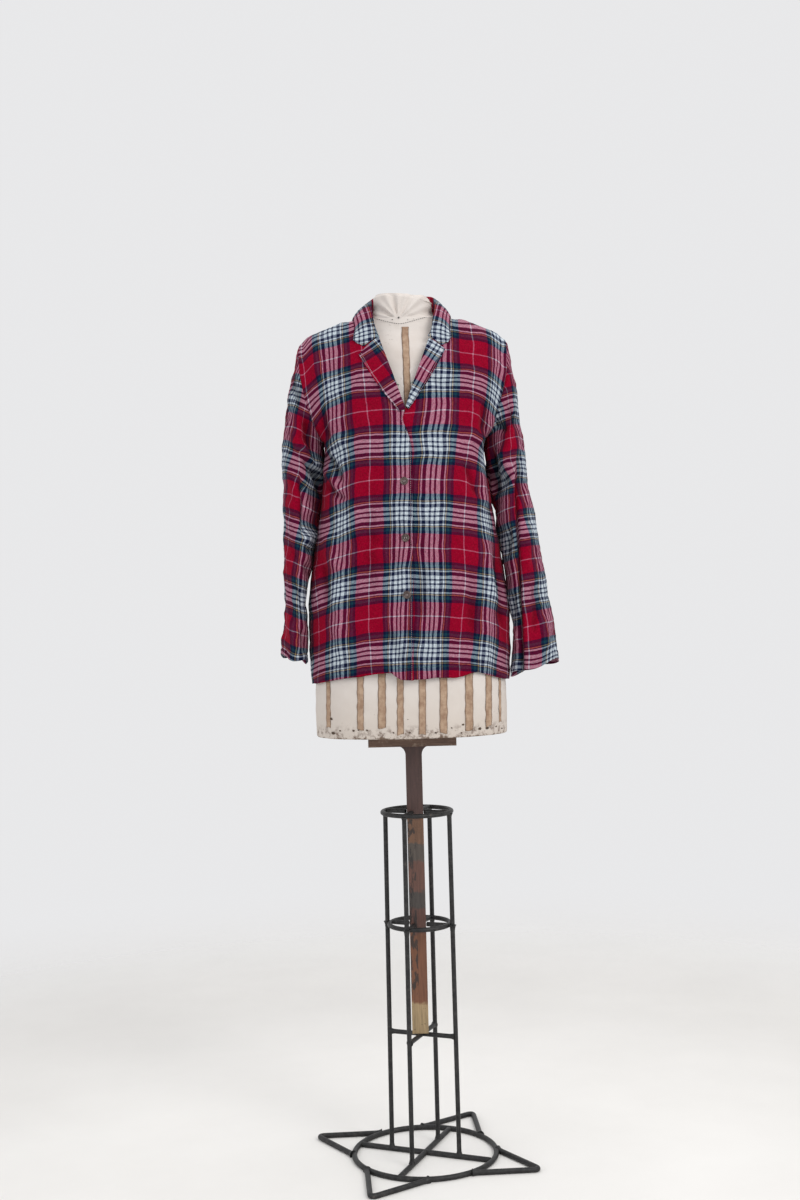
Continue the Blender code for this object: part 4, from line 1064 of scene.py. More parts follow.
# ---------------------------------------------------------------- materials
class Nodes:
    """Short calls for a material's node tree."""

    def __init__(self, tree):
        self.tree = tree

    def add(self, kind, **values):
        node = self.tree.nodes.new("ShaderNode" + kind)
        for key, value in values.items():
            setattr(node, key, value)
        return node

    def link(self, source, target):
        self.tree.links.new(source, target)

    def put(self, socket, value):
        if isinstance(value, bpy.types.NodeSocket):
            self.link(value, socket)
        elif isinstance(value, tuple) and socket.type == "RGBA" and len(value) == 3:
            socket.default_value = (*value, 1.0)
        else:
            socket.default_value = value

    def math(self, operation, first, second=0.0, third=0.0):
        node = self.add("Math", operation=operation)
        for socket, value in zip(node.inputs, (first, second, third)):
            self.put(socket, value)
        return node.outputs[0]

    def mix(self, factor, first, second, blend="MIX"):
        node = self.add("Mix", data_type="RGBA", blend_type=blend)
        sockets = (node.inputs["Factor"], node.inputs[6], node.inputs[7])
        for socket, value in zip(sockets, (factor, first, second)):
            self.put(socket, value)
        return node.outputs[2]

    def ramp(self, factor, stops):
        node = self.add("ValToRGB")
        elements = node.color_ramp.elements
        elements.remove(elements[-1])
        for i, (place, colour) in enumerate(stops):
            element = elements[0] if i == 0 else elements.new(place)
            element.position = place
            shade = colour if isinstance(colour, tuple) else (colour,) * 3
            element.color = (*shade, 1.0)
        self.put(node.inputs[0], factor)
        return node.outputs[0]

    def noise(self, vector, scale, detail=2.0, roughness=0.5, output="Fac"):
        node = self.add("TexNoise")
        self.put(node.inputs["Vector"], vector)
        for key, value in (("Scale", scale), ("Detail", detail), ("Roughness", roughness)):
            node.inputs[key].default_value = value
        return node.outputs[output]

    def vector(self, operation, *values):
        node = self.add("VectorMath", operation=operation)
        for socket, value in zip(node.inputs, values):
            self.put(socket, value)
        return node.outputs[1 if operation == "LENGTH" else 0]

    def axes(self, vector):
        node = self.add("SeparateXYZ")
        self.put(node.inputs[0], vector)
        return node.outputs

    def past(self, value, start, gain):
        """How far a value is past a start, times a gain."""
        return self.math("MULTIPLY", self.math("SUBTRACT", value, start), gain)

    def surface(self, shader, colour, normal):
        self.link(colour, shader.inputs["Base Color"])
        self.link(normal, shader.inputs["Normal"])

    def bump(self, height, strength, distance, normal=None):
        node = self.add("Bump")
        node.inputs["Strength"].default_value = strength
        node.inputs["Distance"].default_value = distance
        self.put(node.inputs["Height"], height)
        if normal is not None:
            self.put(node.inputs["Normal"], normal)
        return node.outputs[0]


def new_material(name, roughness, metallic=0.0):
    """A material, calls for its nodes, its shader and the place of a point on it."""
    finish = bpy.data.materials.new(name)
    finish.use_nodes = True
    shader = finish.node_tree.nodes["Principled BSDF"]
    shader.inputs["Roughness"].default_value = roughness
    shader.inputs["Metallic"].default_value = metallic
    nodes = Nodes(finish.node_tree)
    return finish, nodes, shader, nodes.add("NewGeometry").outputs["Position"]


# Bands of the tartan from the pale line in the red to the middle of the white: where each
# begins, in millimetres, and its yarn.
YARNS = {
    "pale": (0.44, 0.27, 0.32),
    "red": (0.228, 0.0002, 0.0150),
    "navy": (0.0030, 0.0060, 0.027),
    "teal": (0.006, 0.036, 0.056),
    "yellow": (0.30, 0.21, 0.080),
    "white": (0.47, 0.53, 0.57),
}
BANDS = (
    (0.0, "pale"), (1.0, "red"), (25.3, "navy"), (30.2, "teal"), (34.6, "navy"), (37.1, "yellow"),
    (38.7, "navy"), (40.2, "white"), (42.8, "navy"), (49.0, "white"), (55.2, "navy"), (58.5, "white"),
)


def flannel_material():
    """Brushed twill in a tartan that follows the cloth's coordinates, with painted shade in its
    creases.
    """
    finish, nodes, shader, place = new_material("flannel tartan", 0.92)
    coordinates = nodes.add("UVMap", uv_map="cloth").outputs[0]
    # The noise is between 0 and 1, so the tartan wanders by less than 3 mm each way.
    wander = nodes.noise(place, 22.0, output="Color")
    drift = nodes.vector("MULTIPLY_ADD", wander, (0.006, 0.006, 0.0), coordinates)
    lie = nodes.axes(nodes.vector("SUBTRACT", drift, (0.003, 0.003, 0.0)))
    soft = 0.0004 / HALF_SETT
    stops = []
    for i, (start, yarn) in enumerate(BANDS):
        colour = tuple(math.sqrt(part) for part in YARNS[yarn])
        begin = start / 1000 / HALF_SETT
        end = BANDS[i + 1][0] / 1000 / HALF_SETT if i + 1 < len(BANDS) else 1.0
        stops.append((begin + soft if i else 0.0, colour))
        stops.append((end - soft if end < 1.0 else 1.0, colour))
    yarns = []
    for axis in (0, 1):
        folded = nodes.math("PINGPONG", lie[axis], HALF_SETT)
        yarn = nodes.ramp(nodes.math("DIVIDE", folded, HALF_SETT), stops)
        stretch = (170.0, 900.0, 1.0) if axis else (900.0, 170.0, 1.0)
        slubs = nodes.vector("MULTIPLY", coordinates, stretch)
        uneven = nodes.noise(slubs, 1.0, 2.0, 0.6)
        spun = nodes.ramp(uneven, ((0.28, 0.74), (0.50, 1.0), (0.74, 1.30)))
        yarns.append(nodes.mix(1.0, yarn, spun, "MULTIPLY"))
    diagonal = nodes.math("ADD", lie[0], lie[1])
    twill = nodes.math("SINE", nodes.math("MULTIPLY", diagonal, 2 * math.pi / 0.0015))
    share = nodes.math("MULTIPLY_ADD", twill, 0.14, 0.52)
    both = nodes.mix(share, yarns[0], yarns[1])
    colour = nodes.mix(1.0, both, both, "MULTIPLY")
    nap = nodes.noise(place, 900.0, 3.0, 0.65)
    patch = nodes.noise(place, 45.0, 3.0, 0.6)
    tone = nodes.math("ADD", nodes.math("MULTIPLY", nap, 0.30), nodes.math("MULTIPLY", patch, 0.22))
    tone = nodes.math("ADD", tone, 0.74)
    colour = nodes.mix(1.0, colour, nodes.ramp(tone, ((0.0, 0.0), (1.0, 1.0))), "MULTIPLY")
    # Painted shade: the cloth darkens where its relief sinks into creases, troughs and sunk stitch
    # lines, to 0.42 of its colour at 7 mm deep.
    crease = nodes.add("Attribute", attribute_name="crease").outputs["Fac"]
    depth = nodes.math("MULTIPLY", crease, -140.0)
    colour = nodes.mix(1.0, colour, nodes.ramp(depth, ((0.14, 1.0), (1.0, 0.42))), "MULTIPLY")
    haze = nodes.past(nodes.noise(place, 420.0, 4.0, 0.7), 0.50, 0.08)
    colour = nodes.mix(nodes.math("MAXIMUM", haze, 0.0), colour, (0.42, 0.36, 0.38))
    weave = nodes.bump(nodes.math("MULTIPLY_ADD", twill, 0.25, nap), 0.35, 0.0006)
    rumple = nodes.noise(place, 150.0, 3.0, 0.55)
    nodes.surface(shader, colour, nodes.bump(rumple, 0.25, 0.0018, weave))
    shader.inputs["Specular IOR Level"].default_value = 0.03
    shader.inputs["Sheen Weight"].default_value = 0.03
    shader.inputs["Sheen Roughness"].default_value = 0.5
    shader.inputs["Sheen Tint"].default_value = (0.95, 0.85, 0.88, 1.0)
    return finish


def canvas_material():
    """Old canvas, with grime and a brown line along its lower edge."""
    finish, nodes, shader, place = new_material("aged canvas", 0.88)
    stain = nodes.noise(place, 9.0, 4.0, 0.6)
    colour = nodes.ramp(stain, ((0.30, (0.58, 0.52, 0.475)), (0.62, (0.67, 0.625, 0.59))))
    height = nodes.axes(place)[2]
    low = nodes.math("SUBTRACT", 0.90, height)
    low = nodes.math("MULTIPLY", nodes.math("MAXIMUM", low, 0.0), 6.0)
    colour = nodes.mix(nodes.math("MULTIPLY", low, stain), colour, (0.44, 0.35, 0.26))
    rim = nodes.ramp(nodes.past(GRIME_TOP, height, 70.0), ((0.0, 0.0), (1.0, 1.0)))
    smear = nodes.ramp(nodes.noise(place, 75.0, 4.0, 0.7), ((0.48, 0.0), (0.62, 0.9)))
    smear = nodes.math("MULTIPLY", smear, rim)
    colour = nodes.mix(smear, colour, (0.17, 0.12, 0.095))
    speck = nodes.ramp(nodes.noise(place, 160.0, 3.0, 0.7), ((0.62, 0.0), (0.70, 1.0)))
    blot = nodes.ramp(nodes.noise(place, 26.0, 3.0, 0.6), ((0.54, 0.0), (0.70, 0.6)))
    colour = nodes.mix(nodes.math("MULTIPLY", speck, blot), colour, (0.13, 0.085, 0.06))
    edge = nodes.math("SUBTRACT", EDGE_STAIN, height)
    edge = nodes.math("MULTIPLY_ADD", nodes.math("SUBTRACT", speck, 0.3), 0.006, edge)
    edge = nodes.math("MULTIPLY_ADD", nodes.math("SUBTRACT", smear, 0.2), 0.006, edge)
    edge = nodes.ramp(nodes.math("MULTIPLY", edge, 240.0), ((0.0, 0.0), (1.0, 0.85)))
    colour = nodes.mix(edge, colour, (0.13, 0.080, 0.050))
    weave = nodes.noise(place, 1400.0, 2.0, 0.6)
    nodes.surface(shader, colour, nodes.bump(weave, 0.25, 0.0004))
    return finish


def wood_grain(nodes, place, along):
    """Fine grain that runs along one axis."""
    factors = tuple(0.07 if axis == along else 1.0 for axis in range(3))
    return nodes.noise(nodes.vector("MULTIPLY", place, factors), 260.0, 4.0, 0.65)


def board_material():
    """Dark wood with scuffs."""
    finish, nodes, shader, place = new_material("board wood", 0.55)
    grain = wood_grain(nodes, place, 0)
    colour = nodes.ramp(grain, ((0.28, (0.060, 0.030, 0.020)), (0.52, (0.125, 0.070, 0.046)),
                                (0.74, (0.215, 0.140, 0.100))))
    scuff = nodes.ramp(nodes.noise(place, 70.0, 3.0, 0.7), ((0.56, 0.0), (0.68, 0.7)))
    colour = nodes.mix(scuff, colour, (0.26, 0.19, 0.14))
    nodes.surface(shader, colour, nodes.bump(grain, 0.4, 0.0008))
    return finish


def post_material():
    """Old layers of finish down the post, to the bare wood of its end, with painted shade in the top
    zone under the form.
    """
    finish, nodes, shader, place = new_material("worn post", 0.5)
    x, _, z = nodes.axes(place)
    grain = wood_grain(nodes, place, 2)
    cloud = nodes.noise(place, 95.0, 3.0, 0.65)
    height = nodes.math("MULTIPLY_ADD", nodes.math("SUBTRACT", cloud, 0.5), 0.022, z)
    zones = []
    for i, (z_low, z_high, colour) in enumerate(POST_ZONES):
        zones += [(z_low + 0.002 if i else 0.0, colour), (z_high - 0.002, colour)]
    colour = nodes.ramp(height, zones)
    streaks = nodes.vector("MULTIPLY", place, (160.0, 160.0, 48.0))
    streaks = nodes.noise(streaks, 1.0, 3.0, 0.6)
    worn = nodes.ramp(streaks, ((0.50, 0.0), (0.58, 0.85)))
    for operation, value, limit in (("LESS_THAN", x, POST_X - 0.001), ("GREATER_THAN", z, 0.30),
                                    ("LESS_THAN", z, 0.622)):
        worn = nodes.math("MULTIPLY", worn, nodes.math(operation, value, limit))
    colour = nodes.mix(worn, colour, (0.020, 0.017, 0.016))
    pits = nodes.ramp(nodes.noise(place, 210.0, 2.0, 0.5), ((0.64, 0.0), (0.70, 0.9)))
    bare = nodes.math("LESS_THAN", z, POST_ZONES[0][1])
    colour = nodes.mix(nodes.math("MULTIPLY", pits, bare), colour, (0.050, 0.028, 0.016))
    shade = nodes.ramp(grain, ((0.25, 0.62), (0.55, 1.0), (0.80, 1.35)))
    colour = nodes.mix(1.0, colour, shade, "MULTIPLY")
    nodes.surface(shader, colour, nodes.bump(grain, 0.35, 0.0007))
    return finish


def iron_material():
    """Blackened iron, worn bare in places."""
    finish, nodes, shader, place = new_material("worn iron", 0.5, metallic=0.35)
    wear = nodes.noise(place, 120.0, 4.0, 0.65)
    colour = nodes.ramp(wear, ((0.35, (0.010, 0.010, 0.011)), (0.62, (0.030, 0.029, 0.029)),
                               (0.76, (0.085, 0.070, 0.060))))
    nodes.surface(shader, colour, nodes.bump(wear, 0.35, 0.0008))
    return finish


def mottled(name, roughness, dark, light, scale, relief_depth=0.0001):
    """A finish that wanders between two colours, with a fine roughness."""
    finish, nodes, shader, place = new_material(name, roughness)
    cloud = nodes.noise(place, scale, 4.0, 0.62)
    colour = nodes.ramp(cloud, ((0.34, dark), (0.66, light)))
    nodes.surface(shader, colour, nodes.bump(cloud, 0.3, relief_depth))
    return finish


# ---------------------------------------------------------------- form
def superellipse(turn, power):
    return np.sign(turn) * abs(turn) ** power


def form_point(position, turn):
    """A point of the form at a fractional row, a turn round from its left side."""
    row = {name: spline(values, position) for name, values in FORM_ROWS.items()}
    power = 2 / row["square"]
    x = row["half"] * superellipse(np.cos(turn), power)
    depth = np.where(np.sin(turn) > 0, row["back"], row["front"])
    y = depth * superellipse(np.sin(turn), power)
    z = row["z"] - NECK_CAP_TILT * x * eased((row["z"] - NECK_CAP_Z) / 0.004)
    return np.stack([BODY_X + row["shift"] + x, y, z], axis=-1)


def make_form():
    """The canvas form with its neck, which is gathered towards a knot in front."""
    rings, sides = 330, 150
    position = np.linspace(0, len(FORM_ROWS["z"]) - 1, rings)[::-1]
    turn = -math.pi / 2 + 2 * math.pi * np.arange(sides) / sides
    position, turn = np.broadcast_arrays(position[:, None], turn[None])
    points = form_point(position, turn)
    outward = normals(points, closed=True)
    x, z = points[..., 0], points[..., 2]
    front = eased(-outward[..., 1] * 3)
    fan = np.arctan2(x - PLEATS_AT[0], np.maximum(z - PLEATS_AT[1] + 0.003, 0.002))
    reach = np.hypot(x - PLEATS_AT[0], z - PLEATS_AT[1])
    pleats = 0.55 * np.sin(fan * 9 + 0.4) + 0.45 * np.sin(fan * 17 + 1.9) - 0.3 * np.cos(fan * 5)
    gathered = front * eased((z - 1.536) / 0.004) * eased((1.585 - z) / 0.006)
    height = 0.0034 * pleats * gathered * eased(reach / 0.02)
    height += 0.0003 * ripple(x * 2, z, 0.03, 8) * (z < 1.53)
    height -= 0.0006
    points = points + outward * height[..., None]
    return join_parts("form_canvas", [solid(points)], CANVAS, sharp=50)


def on_form(x, z, out, back=False):
    """Points of the form's front or back surface at (x, z), moved out along Y."""
    trial = np.linspace(0, len(FORM_ROWS["z"]) - 1, 2000)
    position = np.interp(z, spline(FORM_ROWS["z"], trial), trial)
    row = {name: spline(values, position) for name, values in FORM_ROWS.items()}
    across = np.clip(abs(x - BODY_X - row["shift"]) / row["half"], 0, 1)
    level = (1 - across ** row["square"]) ** (1 / row["square"])
    y = row["back"] * level + out if back else -row["front"] * level - out
    return np.stack([x, y, z], axis=-1)


def make_tapes(name, width, out, finish):
    """Old tapes glued down the form, or their glue: the centre one, and those that show
    under the hem. Their edges are worn."""
    parts = []
    share = np.linspace(0, 1, 60)[:, None]
    across = np.linspace(0, 1, 6)[None]
    for back in (False, True):
        for x0, x1, z_top, x0_end, x1_end, z_end in zip(*TAPES.values()):
            if back and z_top > NECK_SEAM:
                z_top -= 0.02
            left = x0 + (x0_end - x0) * share
            right = x1 + (x1_end - x1) * share
            down = share * (z_top - z_end) + 0 * across
            worn = 0.0004 * ripple(down, 0.02 * across, 0.017, seed=int(abs(x0) * 9000))
            across_tape = (left + right) / 2 + width * (right - left) * (across - 0.5)
            x = (across_tape + worn) * (-1 if back else 1)
            z = z_top + (z_end - z_top) * share + 0.0016 * np.sin(3 * across + 40 * x0) * share
            parts.append((on_form(x, z, out, back).reshape(-1, 3), grid_faces(x)))
    return with_wall(join_parts(name, parts, finish), 0.0003)


def make_spots():
    """Rust spots of the nails round the form's lower edge."""
    parts = []
    chance = np.random.default_rng(4)
    sides = 14
    turns = 2 * math.pi * np.arange(sides) / sides
    faces = [[i, (i + 1) % sides, sides] for i in range(sides)]
    for back in (False, True):
        for x0, z0, size in zip(*SPOTS.values()):
            rim = size * (1 + 0.35 * chance.uniform(-1, 1, sides))
            x = np.append(x0 + rim * np.cos(turns), x0) * (-1 if back else 1)
            z = np.append(z0 + 0.8 * rim * np.sin(turns), z0)
            parts.append((on_form(x, np.maximum(z, FORM_EDGE), 0.0001, back), faces))
    return with_wall(join_parts("form_spots", parts, RUST), 0.0002)


def stitches(route, pitch, length, radius):
    """Raised stitches along a route, one every pitch."""
    along = cumulative(route, 0)
    parts = []
    for start in np.arange(0.5 * pitch, along[-1] - length, pitch):
        at = start + length * np.linspace(0, 1, 4)
        points = np.stack([np.interp(at, along, route[:, axis]) for axis in range(3)], axis=-1)
        parts.append(tube(points, radius * np.array((0.6, 1.0, 1.0, 0.6)), sides=6))
    return parts


def make_tacks():
    """The black stitching of the neck seam, the knot above it and its loose ends."""
    share = np.linspace(0, len(TACK_LINE["x"]) - 1, 120)
    x, z = spline(TACK_LINE["x"], share), spline(TACK_LINE["z"], share)
    parts = stitches(on_form(x, z, 0.0002), pitch=0.0042, length=0.0026, radius=0.0005)
    for x, z, size in zip(*KNOTS.values()):
        spot = on_form(np.array([x, x + size]), np.array([z, z - size * 0.6]), 0.0006)
        parts.append(tube(spot, size * 0.7, sides=8))
    return join_parts("form_tacks", parts, BLACK_THREAD)


def make_green_thread():
    """Loose ends of thread that lie on the form."""
    parts = []
    for x0, x1, z in GREEN_ENDS:
        x = np.linspace(x0, x1, 12)
        parts.append(tube(on_form(x, z + 0.0008 * np.sin(x * 600), 0.0004), 0.0005, sides=6))
    return join_parts("form_thread", parts, GREEN_THREAD)


# ---------------------------------------------------------------- iron stand
def polar(radius, angle, z):
    return np.array((radius * math.cos(angle), radius * math.sin(angle), z))


def tube(route, radius, looped=False, sides=16):
    """A round rod along a route. Its radius may vary."""
    route = np.asarray(route, float)
    radius = np.broadcast_to(radius, len(route))
    if looped:
        ahead = unit(np.roll(route, -1, 0) - np.roll(route, 1, 0))
    else:
        ahead = unit(np.gradient(route, axis=0))
    up = np.where(abs(ahead[:, 2:]) > 0.9, (1.0, 0.0, 0.0), (0.0, 0.0, 1.0))
    aside = unit(np.cross(ahead, up))
    over = np.cross(aside, ahead)
    turns = 2 * math.pi * np.arange(sides) / sides
    rim = aside[:, None] * np.cos(turns)[:, None] + over[:, None] * np.sin(turns)[:, None]
    return solid(route[:, None] + rim * radius[:, None, None], looped)


def weld(centre, direction, radius, length):
    """A concave fillet of weld where a rod meets another."""
    direction = unit(np.asarray(direction, float))
    share = np.linspace(0, 1, 7)
    route = centre + direction * (share * length)[:, None]
    return tube(route, radius * (1 + 0.55 * (1 - share) ** 2.5), sides=14)


def cage_radius(z):
    """How far the upright rods stand from the middle, since they lean in a little."""
    return CAGE_FOOT + (CAGE_RADIUS - CAGE_FOOT) * z / TOP_RING_Z


def circle(radius, z, steps):
    return [polar(radius, 2 * math.pi * i / steps, z) for i in range(steps)]


def make_stand():
    """The rod stand in one piece: rings, cross bars, upright rods, short bars and feet."""
    floor_z = BASE_ROD * FLAT_RADIUS
    base_rod = BASE_ROD * 0.98
    mid_radius = cage_radius(MID_RING_Z) - 2 * ROD - WELD_GAP
    parts = [tube(circle(BASE_RADIUS, floor_z, 96), base_rod, looped=True),
             tube(circle(CAGE_RADIUS, TOP_RING_Z, 72), ROD, looped=True),
             tube(circle(mid_radius, MID_RING_Z, 72), ROD, looped=True)]
    brace_reach = cage_radius(BRACE_Z) - ROD * 0.5
    for reach, z, radius in ((BASE_RADIUS - BASE_ROD, floor_z, base_rod),
                             (brace_reach, BRACE_Z, ROD)):
        for turn in (CROSS_TURN, CROSS_TURN + math.pi / 2):
            parts.append(tube([polar(-reach, turn, z), polar(reach, turn, z)], radius))
    post_reach = POST_HALF / math.cos(CROSS_TURN) + ROD * math.tan(abs(CROSS_TURN)) + WELD_GAP
    shift = np.array((POST_X, 0.0, 0.0))
    up = np.array((0.0, 0.0, 1.0))
    for i in range(4):
        turn = CROSS_TURN + i * math.pi / 2
        bottom, top = polar(CAGE_FOOT, turn, floor_z), polar(CAGE_RADIUS, turn, TOP_RING_Z)
        parts.append(tube([bottom, top], ROD))
        for reach, z, towards, radius, length in (
                (CAGE_FOOT, 2 * floor_z - 0.002, up, ROD, 0.011),
                (CAGE_RADIUS, TOP_RING_Z - 0.002, -up, ROD, 0.009),
                (brace_reach, BRACE_Z, -polar(1, turn, 0), ROD, 0.011),
                (cage_radius(MID_RING_Z), MID_RING_Z + 0.001, -up, ROD * 1.1, 0.010)):
            parts.append(weld(polar(reach, turn, z), towards, radius, length))
        for outer, z in ((CAGE_RADIUS, TOP_RING_Z), (mid_radius, MID_RING_Z)):
            parts.append(tube([polar(post_reach, turn, z) + shift, polar(outer, turn, z)], ROD))
        parts += foot_tubes(turn + FOOT_TURN, floor_z)
    for verts, _ in parts:
        verts[:, 2] = np.maximum(verts[:, 2], 0.0)
    return join_parts("iron_rods", parts, IRON)


def foot_tubes(turn, z):
    """A foot bent to a V, with the welds of its ends."""
    ends = [polar(BASE_RADIUS + BASE_ROD * 0.5, turn + spread, z)
            for spread in (-FOOT_SPREAD, FOOT_SPREAD)]
    apex = polar(FOOT_REACH, turn, z)
    legs = [unit(end - apex) * FOOT_BEND for end in ends]
    share = np.linspace(0, 1, 9)[:, None]
    bend = apex + legs[0] * (1 - share) ** 2 + legs[1] * share ** 2
    route = np.concatenate([ends[:1], bend, ends[1:]])
    welds = [weld(end, apex - end, BASE_ROD, 0.012) for end in ends]
    return [tube(route, BASE_ROD * 0.98)] + welds


# ---------------------------------------------------------------- buttons
def lathe(profile, steps):
    """A profile of radii and heights, from the top down, turned about +Z."""
    profile = np.asarray(profile, float)
    turns = 2 * math.pi * np.arange(steps) / steps
    ring = np.stack([np.cos(turns), np.sin(turns)], axis=-1)
    heights = np.repeat(profile[:, None, 1:], steps, 1)
    return solid(np.concatenate([profile[:, None, :1] * ring, heights], axis=-1))


def make_button(number, z):
    """A rimmed disc with four holes, shown as dark discs painted with the shade inside a hole, and two
    runs of thread, set on the over front.
    """
    seat = on_front(-1, np.array([BUTTON_X]), np.array([z]), 0.0003)[0]
    stand_up = np.array(((1, 0, 0), (0, 0, -1), (0, 1, 0)), float)
    disc = lathe(BUTTON_PROFILE, 40)
    holes = []
    # The holes are not cut: near-black discs sit in them, painted shade standing for the dark inside a
    # hole.
    for i in range(4):
        verts, faces = lathe(((0.0001, 0.0019), (0.0011, 0.0019), (0.0011, 0.0010)), 12)
        holes.append((verts + polar(0.0022, math.pi / 4 + i * math.pi / 2, 0.0), faces))
    threads = [tube([(x, -0.0017, 0.0021), (x, 0.0017, 0.0021)], 0.00035, sides=8)
               for x in (-0.00155, 0.00155)]
    pieces = []
    for name, parts, finish, sharp in (("disc", [disc], BUTTON, None), ("holes", holes, DARK, 45),
                                       ("thread", threads, THREAD, 45)):
        parts = [(verts @ stand_up.T + seat, faces) for verts, faces in parts]
        pieces.append(join_parts(f"button_{name}_{number}", parts, finish, sharp))
    return pieces


# ---------------------------------------------------------------- sewing
def thread_route(grid, rows, columns, rise=0.0009, closed=False):
    """A line of a cloth grid, lifted to lie on the cloth."""
    lifted = grid["points"] + normals(grid["points"], closed) * rise
    return lifted[rows, columns].reshape(-1, 3)


def make_sewing():
    """Stitches along the front edge, lapels, collar, hems and cuffs."""
    every, below_lapel = slice(None), slice(40, None)
    pale = [thread_route(fronts[-1], below_lapel, -2), thread_route(lapels[-1], every, 3, 0.0014),
            thread_route(lapels[1], every, -4, 0.0014)]
    dark = [thread_route(grid, HEM_ROW, every) for grid in (*fronts.values(), back)]
    dark += [thread_route(grid, CUFF_ROW, every, closed=True) for grid in sleeves.values()]
    dark.append(thread_route(collar, -4, every, -0.0014))
    for name, routes, finish in (("sewing_pale", pale, THREAD), ("sewing_dark", dark, DARK_THREAD)):
        parts = []
        for route in routes:
            parts += stitches(route, pitch=0.0034, length=0.0024, radius=0.00024)
        wear(join_parts(name, parts, finish), "flannel")


# ---------------------------------------------------------------- set, light and camera
def floor_material():
    """A pale floor that fades into the studio's white away from the stand."""
    finish, nodes, shader, place = new_material("pale floor", 0.9)
    grain = nodes.noise(place, 3.0, 4.0, 0.6)
    nodes.link(nodes.ramp(grain, ((0.3, (0.80, 0.785, 0.76)), (0.7, (0.84, 0.825, 0.80)))),
               shader.inputs["Base Color"])
    reach = nodes.vector("LENGTH", nodes.vector("MULTIPLY", place, (1.0, 1.0, 0.0)))
    fade = nodes.add("MapRange", interpolation_type="SMOOTHSTEP")
    nodes.link(reach, fade.inputs["Value"])
    fade.inputs["From Min"].default_value = FLOOR_SOLID
    fade.inputs["From Max"].default_value = FLOOR_GONE
    clear = nodes.add("BsdfTransparent")
    blend = nodes.add("MixShader")
    nodes.link(fade.outputs["Result"], blend.inputs[0])
    nodes.link(shader.outputs[0], blend.inputs[1])
    nodes.link(clear.outputs[0], blend.inputs[2])
    nodes.link(blend.outputs[0], finish.node_tree.nodes["Material Output"].inputs["Surface"])
    return finish


def stage_set():
    """The floor, the pale surroundings and three soft lamps."""
    verts, faces = lathe(((0.001, 0.0), (FLOOR_GONE, 0.0), (FLOOR_GONE, -0.002)), 64)
    mesh = bpy.data.meshes.new("studio_floor")
    mesh.from_pydata(verts.tolist(), [], faces)
    add_object("studio_floor", mesh, floor_material())
    world = bpy.data.worlds.new("studio")
    bpy.context.scene.world = world
    world.use_nodes = True
    backdrop = world.node_tree.nodes["Background"]
    backdrop.inputs["Color"].default_value = (0.81, 0.81, 0.82, 1.0)
    backdrop.inputs["Strength"].default_value = 1.0
    for name, (place, aim, size, power, colour) in LAMPS.items():
        lamp = bpy.data.lights.new(name, "AREA")
        lamp.size = size
        lamp.energy = power
        lamp.color = colour
        item = bpy.data.objects.new(name, lamp)
        item.location = place
        item.rotation_euler = (Vector(aim) - Vector(place)).to_track_quat("-Z", "Y").to_euler()
        bpy.context.scene.collection.objects.link(item)


def camera():
    """A level camera in front, turned a little in its own plane."""
    lens = bpy.data.cameras.new("camera")
    lens.lens = 45
    lens.sensor_fit = "VERTICAL"
    lens.sensor_height = 36
    item = bpy.data.objects.new("camera", lens)
    bpy.context.scene.collection.objects.link(item)
    level = Matrix.Rotation(math.pi / 2, 4, "X")
    roll = Matrix.Rotation(-CAMERA_ROLL, 4, "Z")
    item.matrix_world = Matrix.Translation(CAMERA_PLACE) @ level @ roll
    bpy.context.scene.camera = item


# ---------------------------------------------------------------- creases and sheets
# Creases: both ends as x (or the distance out, on a sleeve) and z, height, width and how
# far the line bows aside.
CREASE_COLUMNS = "x0 z0 x1 z1 height width bow"
FRONT_CREASES = {
    -1: millimetres(
        CREASE_COLUMNS,
        (-165, 1470, -152, 1420, 2, 10, 2),
        (-152, 1372, -140, 1318, -3.5, 7, 2),
        (-139, 1350, -112, 1296, 2.5, 10, 3),
        (-147, 1290, -118, 1236, -4, 6, -3),
        (-151, 1262, -122, 1222, 3.5, 6, -2),
        (-150, 1236, -112, 1206, -3, 6, 2),
        (-149, 1150, -128, 1075, 3.5, 10, 3),
        (-158, 1100, -150, 1010, -3.5, 8, 0),
        (-130, 1060, -122, 930, 3, 13, 4),
        (-98, 1250, -94, 1120, 1.8, 12, 0),
        (-70, 1190, -66, 1020, -1.8, 12, 2),
        (-90, 1428, -45, 1424, 1.8, 7, 2),
        (-30, 1200, -26, 1060, -1.4, 10, 2),
        (-40, 975, -22, 915, -3.2, 6, 2),
        (-18, 960, -10, 905, 2.6, 5, 0),
    ),
    1: millimetres(
        CREASE_COLUMNS,
        (160, 1470, 174, 1420, 2, 8, 0),
        (100, 1440, 150, 1405, 2, 12, 4),
        (140, 1378, 138, 1315, -4, 7, 3),
        (122, 1362, 116, 1300, 2.8, 10, 0),
        (155, 1348, 124, 1302, 4, 7, 0),
        (143, 1308, 147, 1240, -4.5, 6, 0),
        (104, 1262, 124, 1205, -3, 7, 2),
        (128, 1250, 136, 1190, 3, 6, 0),
        (130, 1130, 155, 1010, 3.5, 9, 3),
        (150, 1110, 163, 960, -3.5, 8, 0),
        (108, 1090, 112, 940, -2.2, 12, 3),
        (128, 990, 122, 905, 3.2, 10, 0),
        (60, 1100, 64, 920, 2, 14, 0),
        (20, 1150, 24, 960, -1.8, 10, 2),
        (40, 1420, 85, 1400, -1.6, 8, 0),
    ),
}
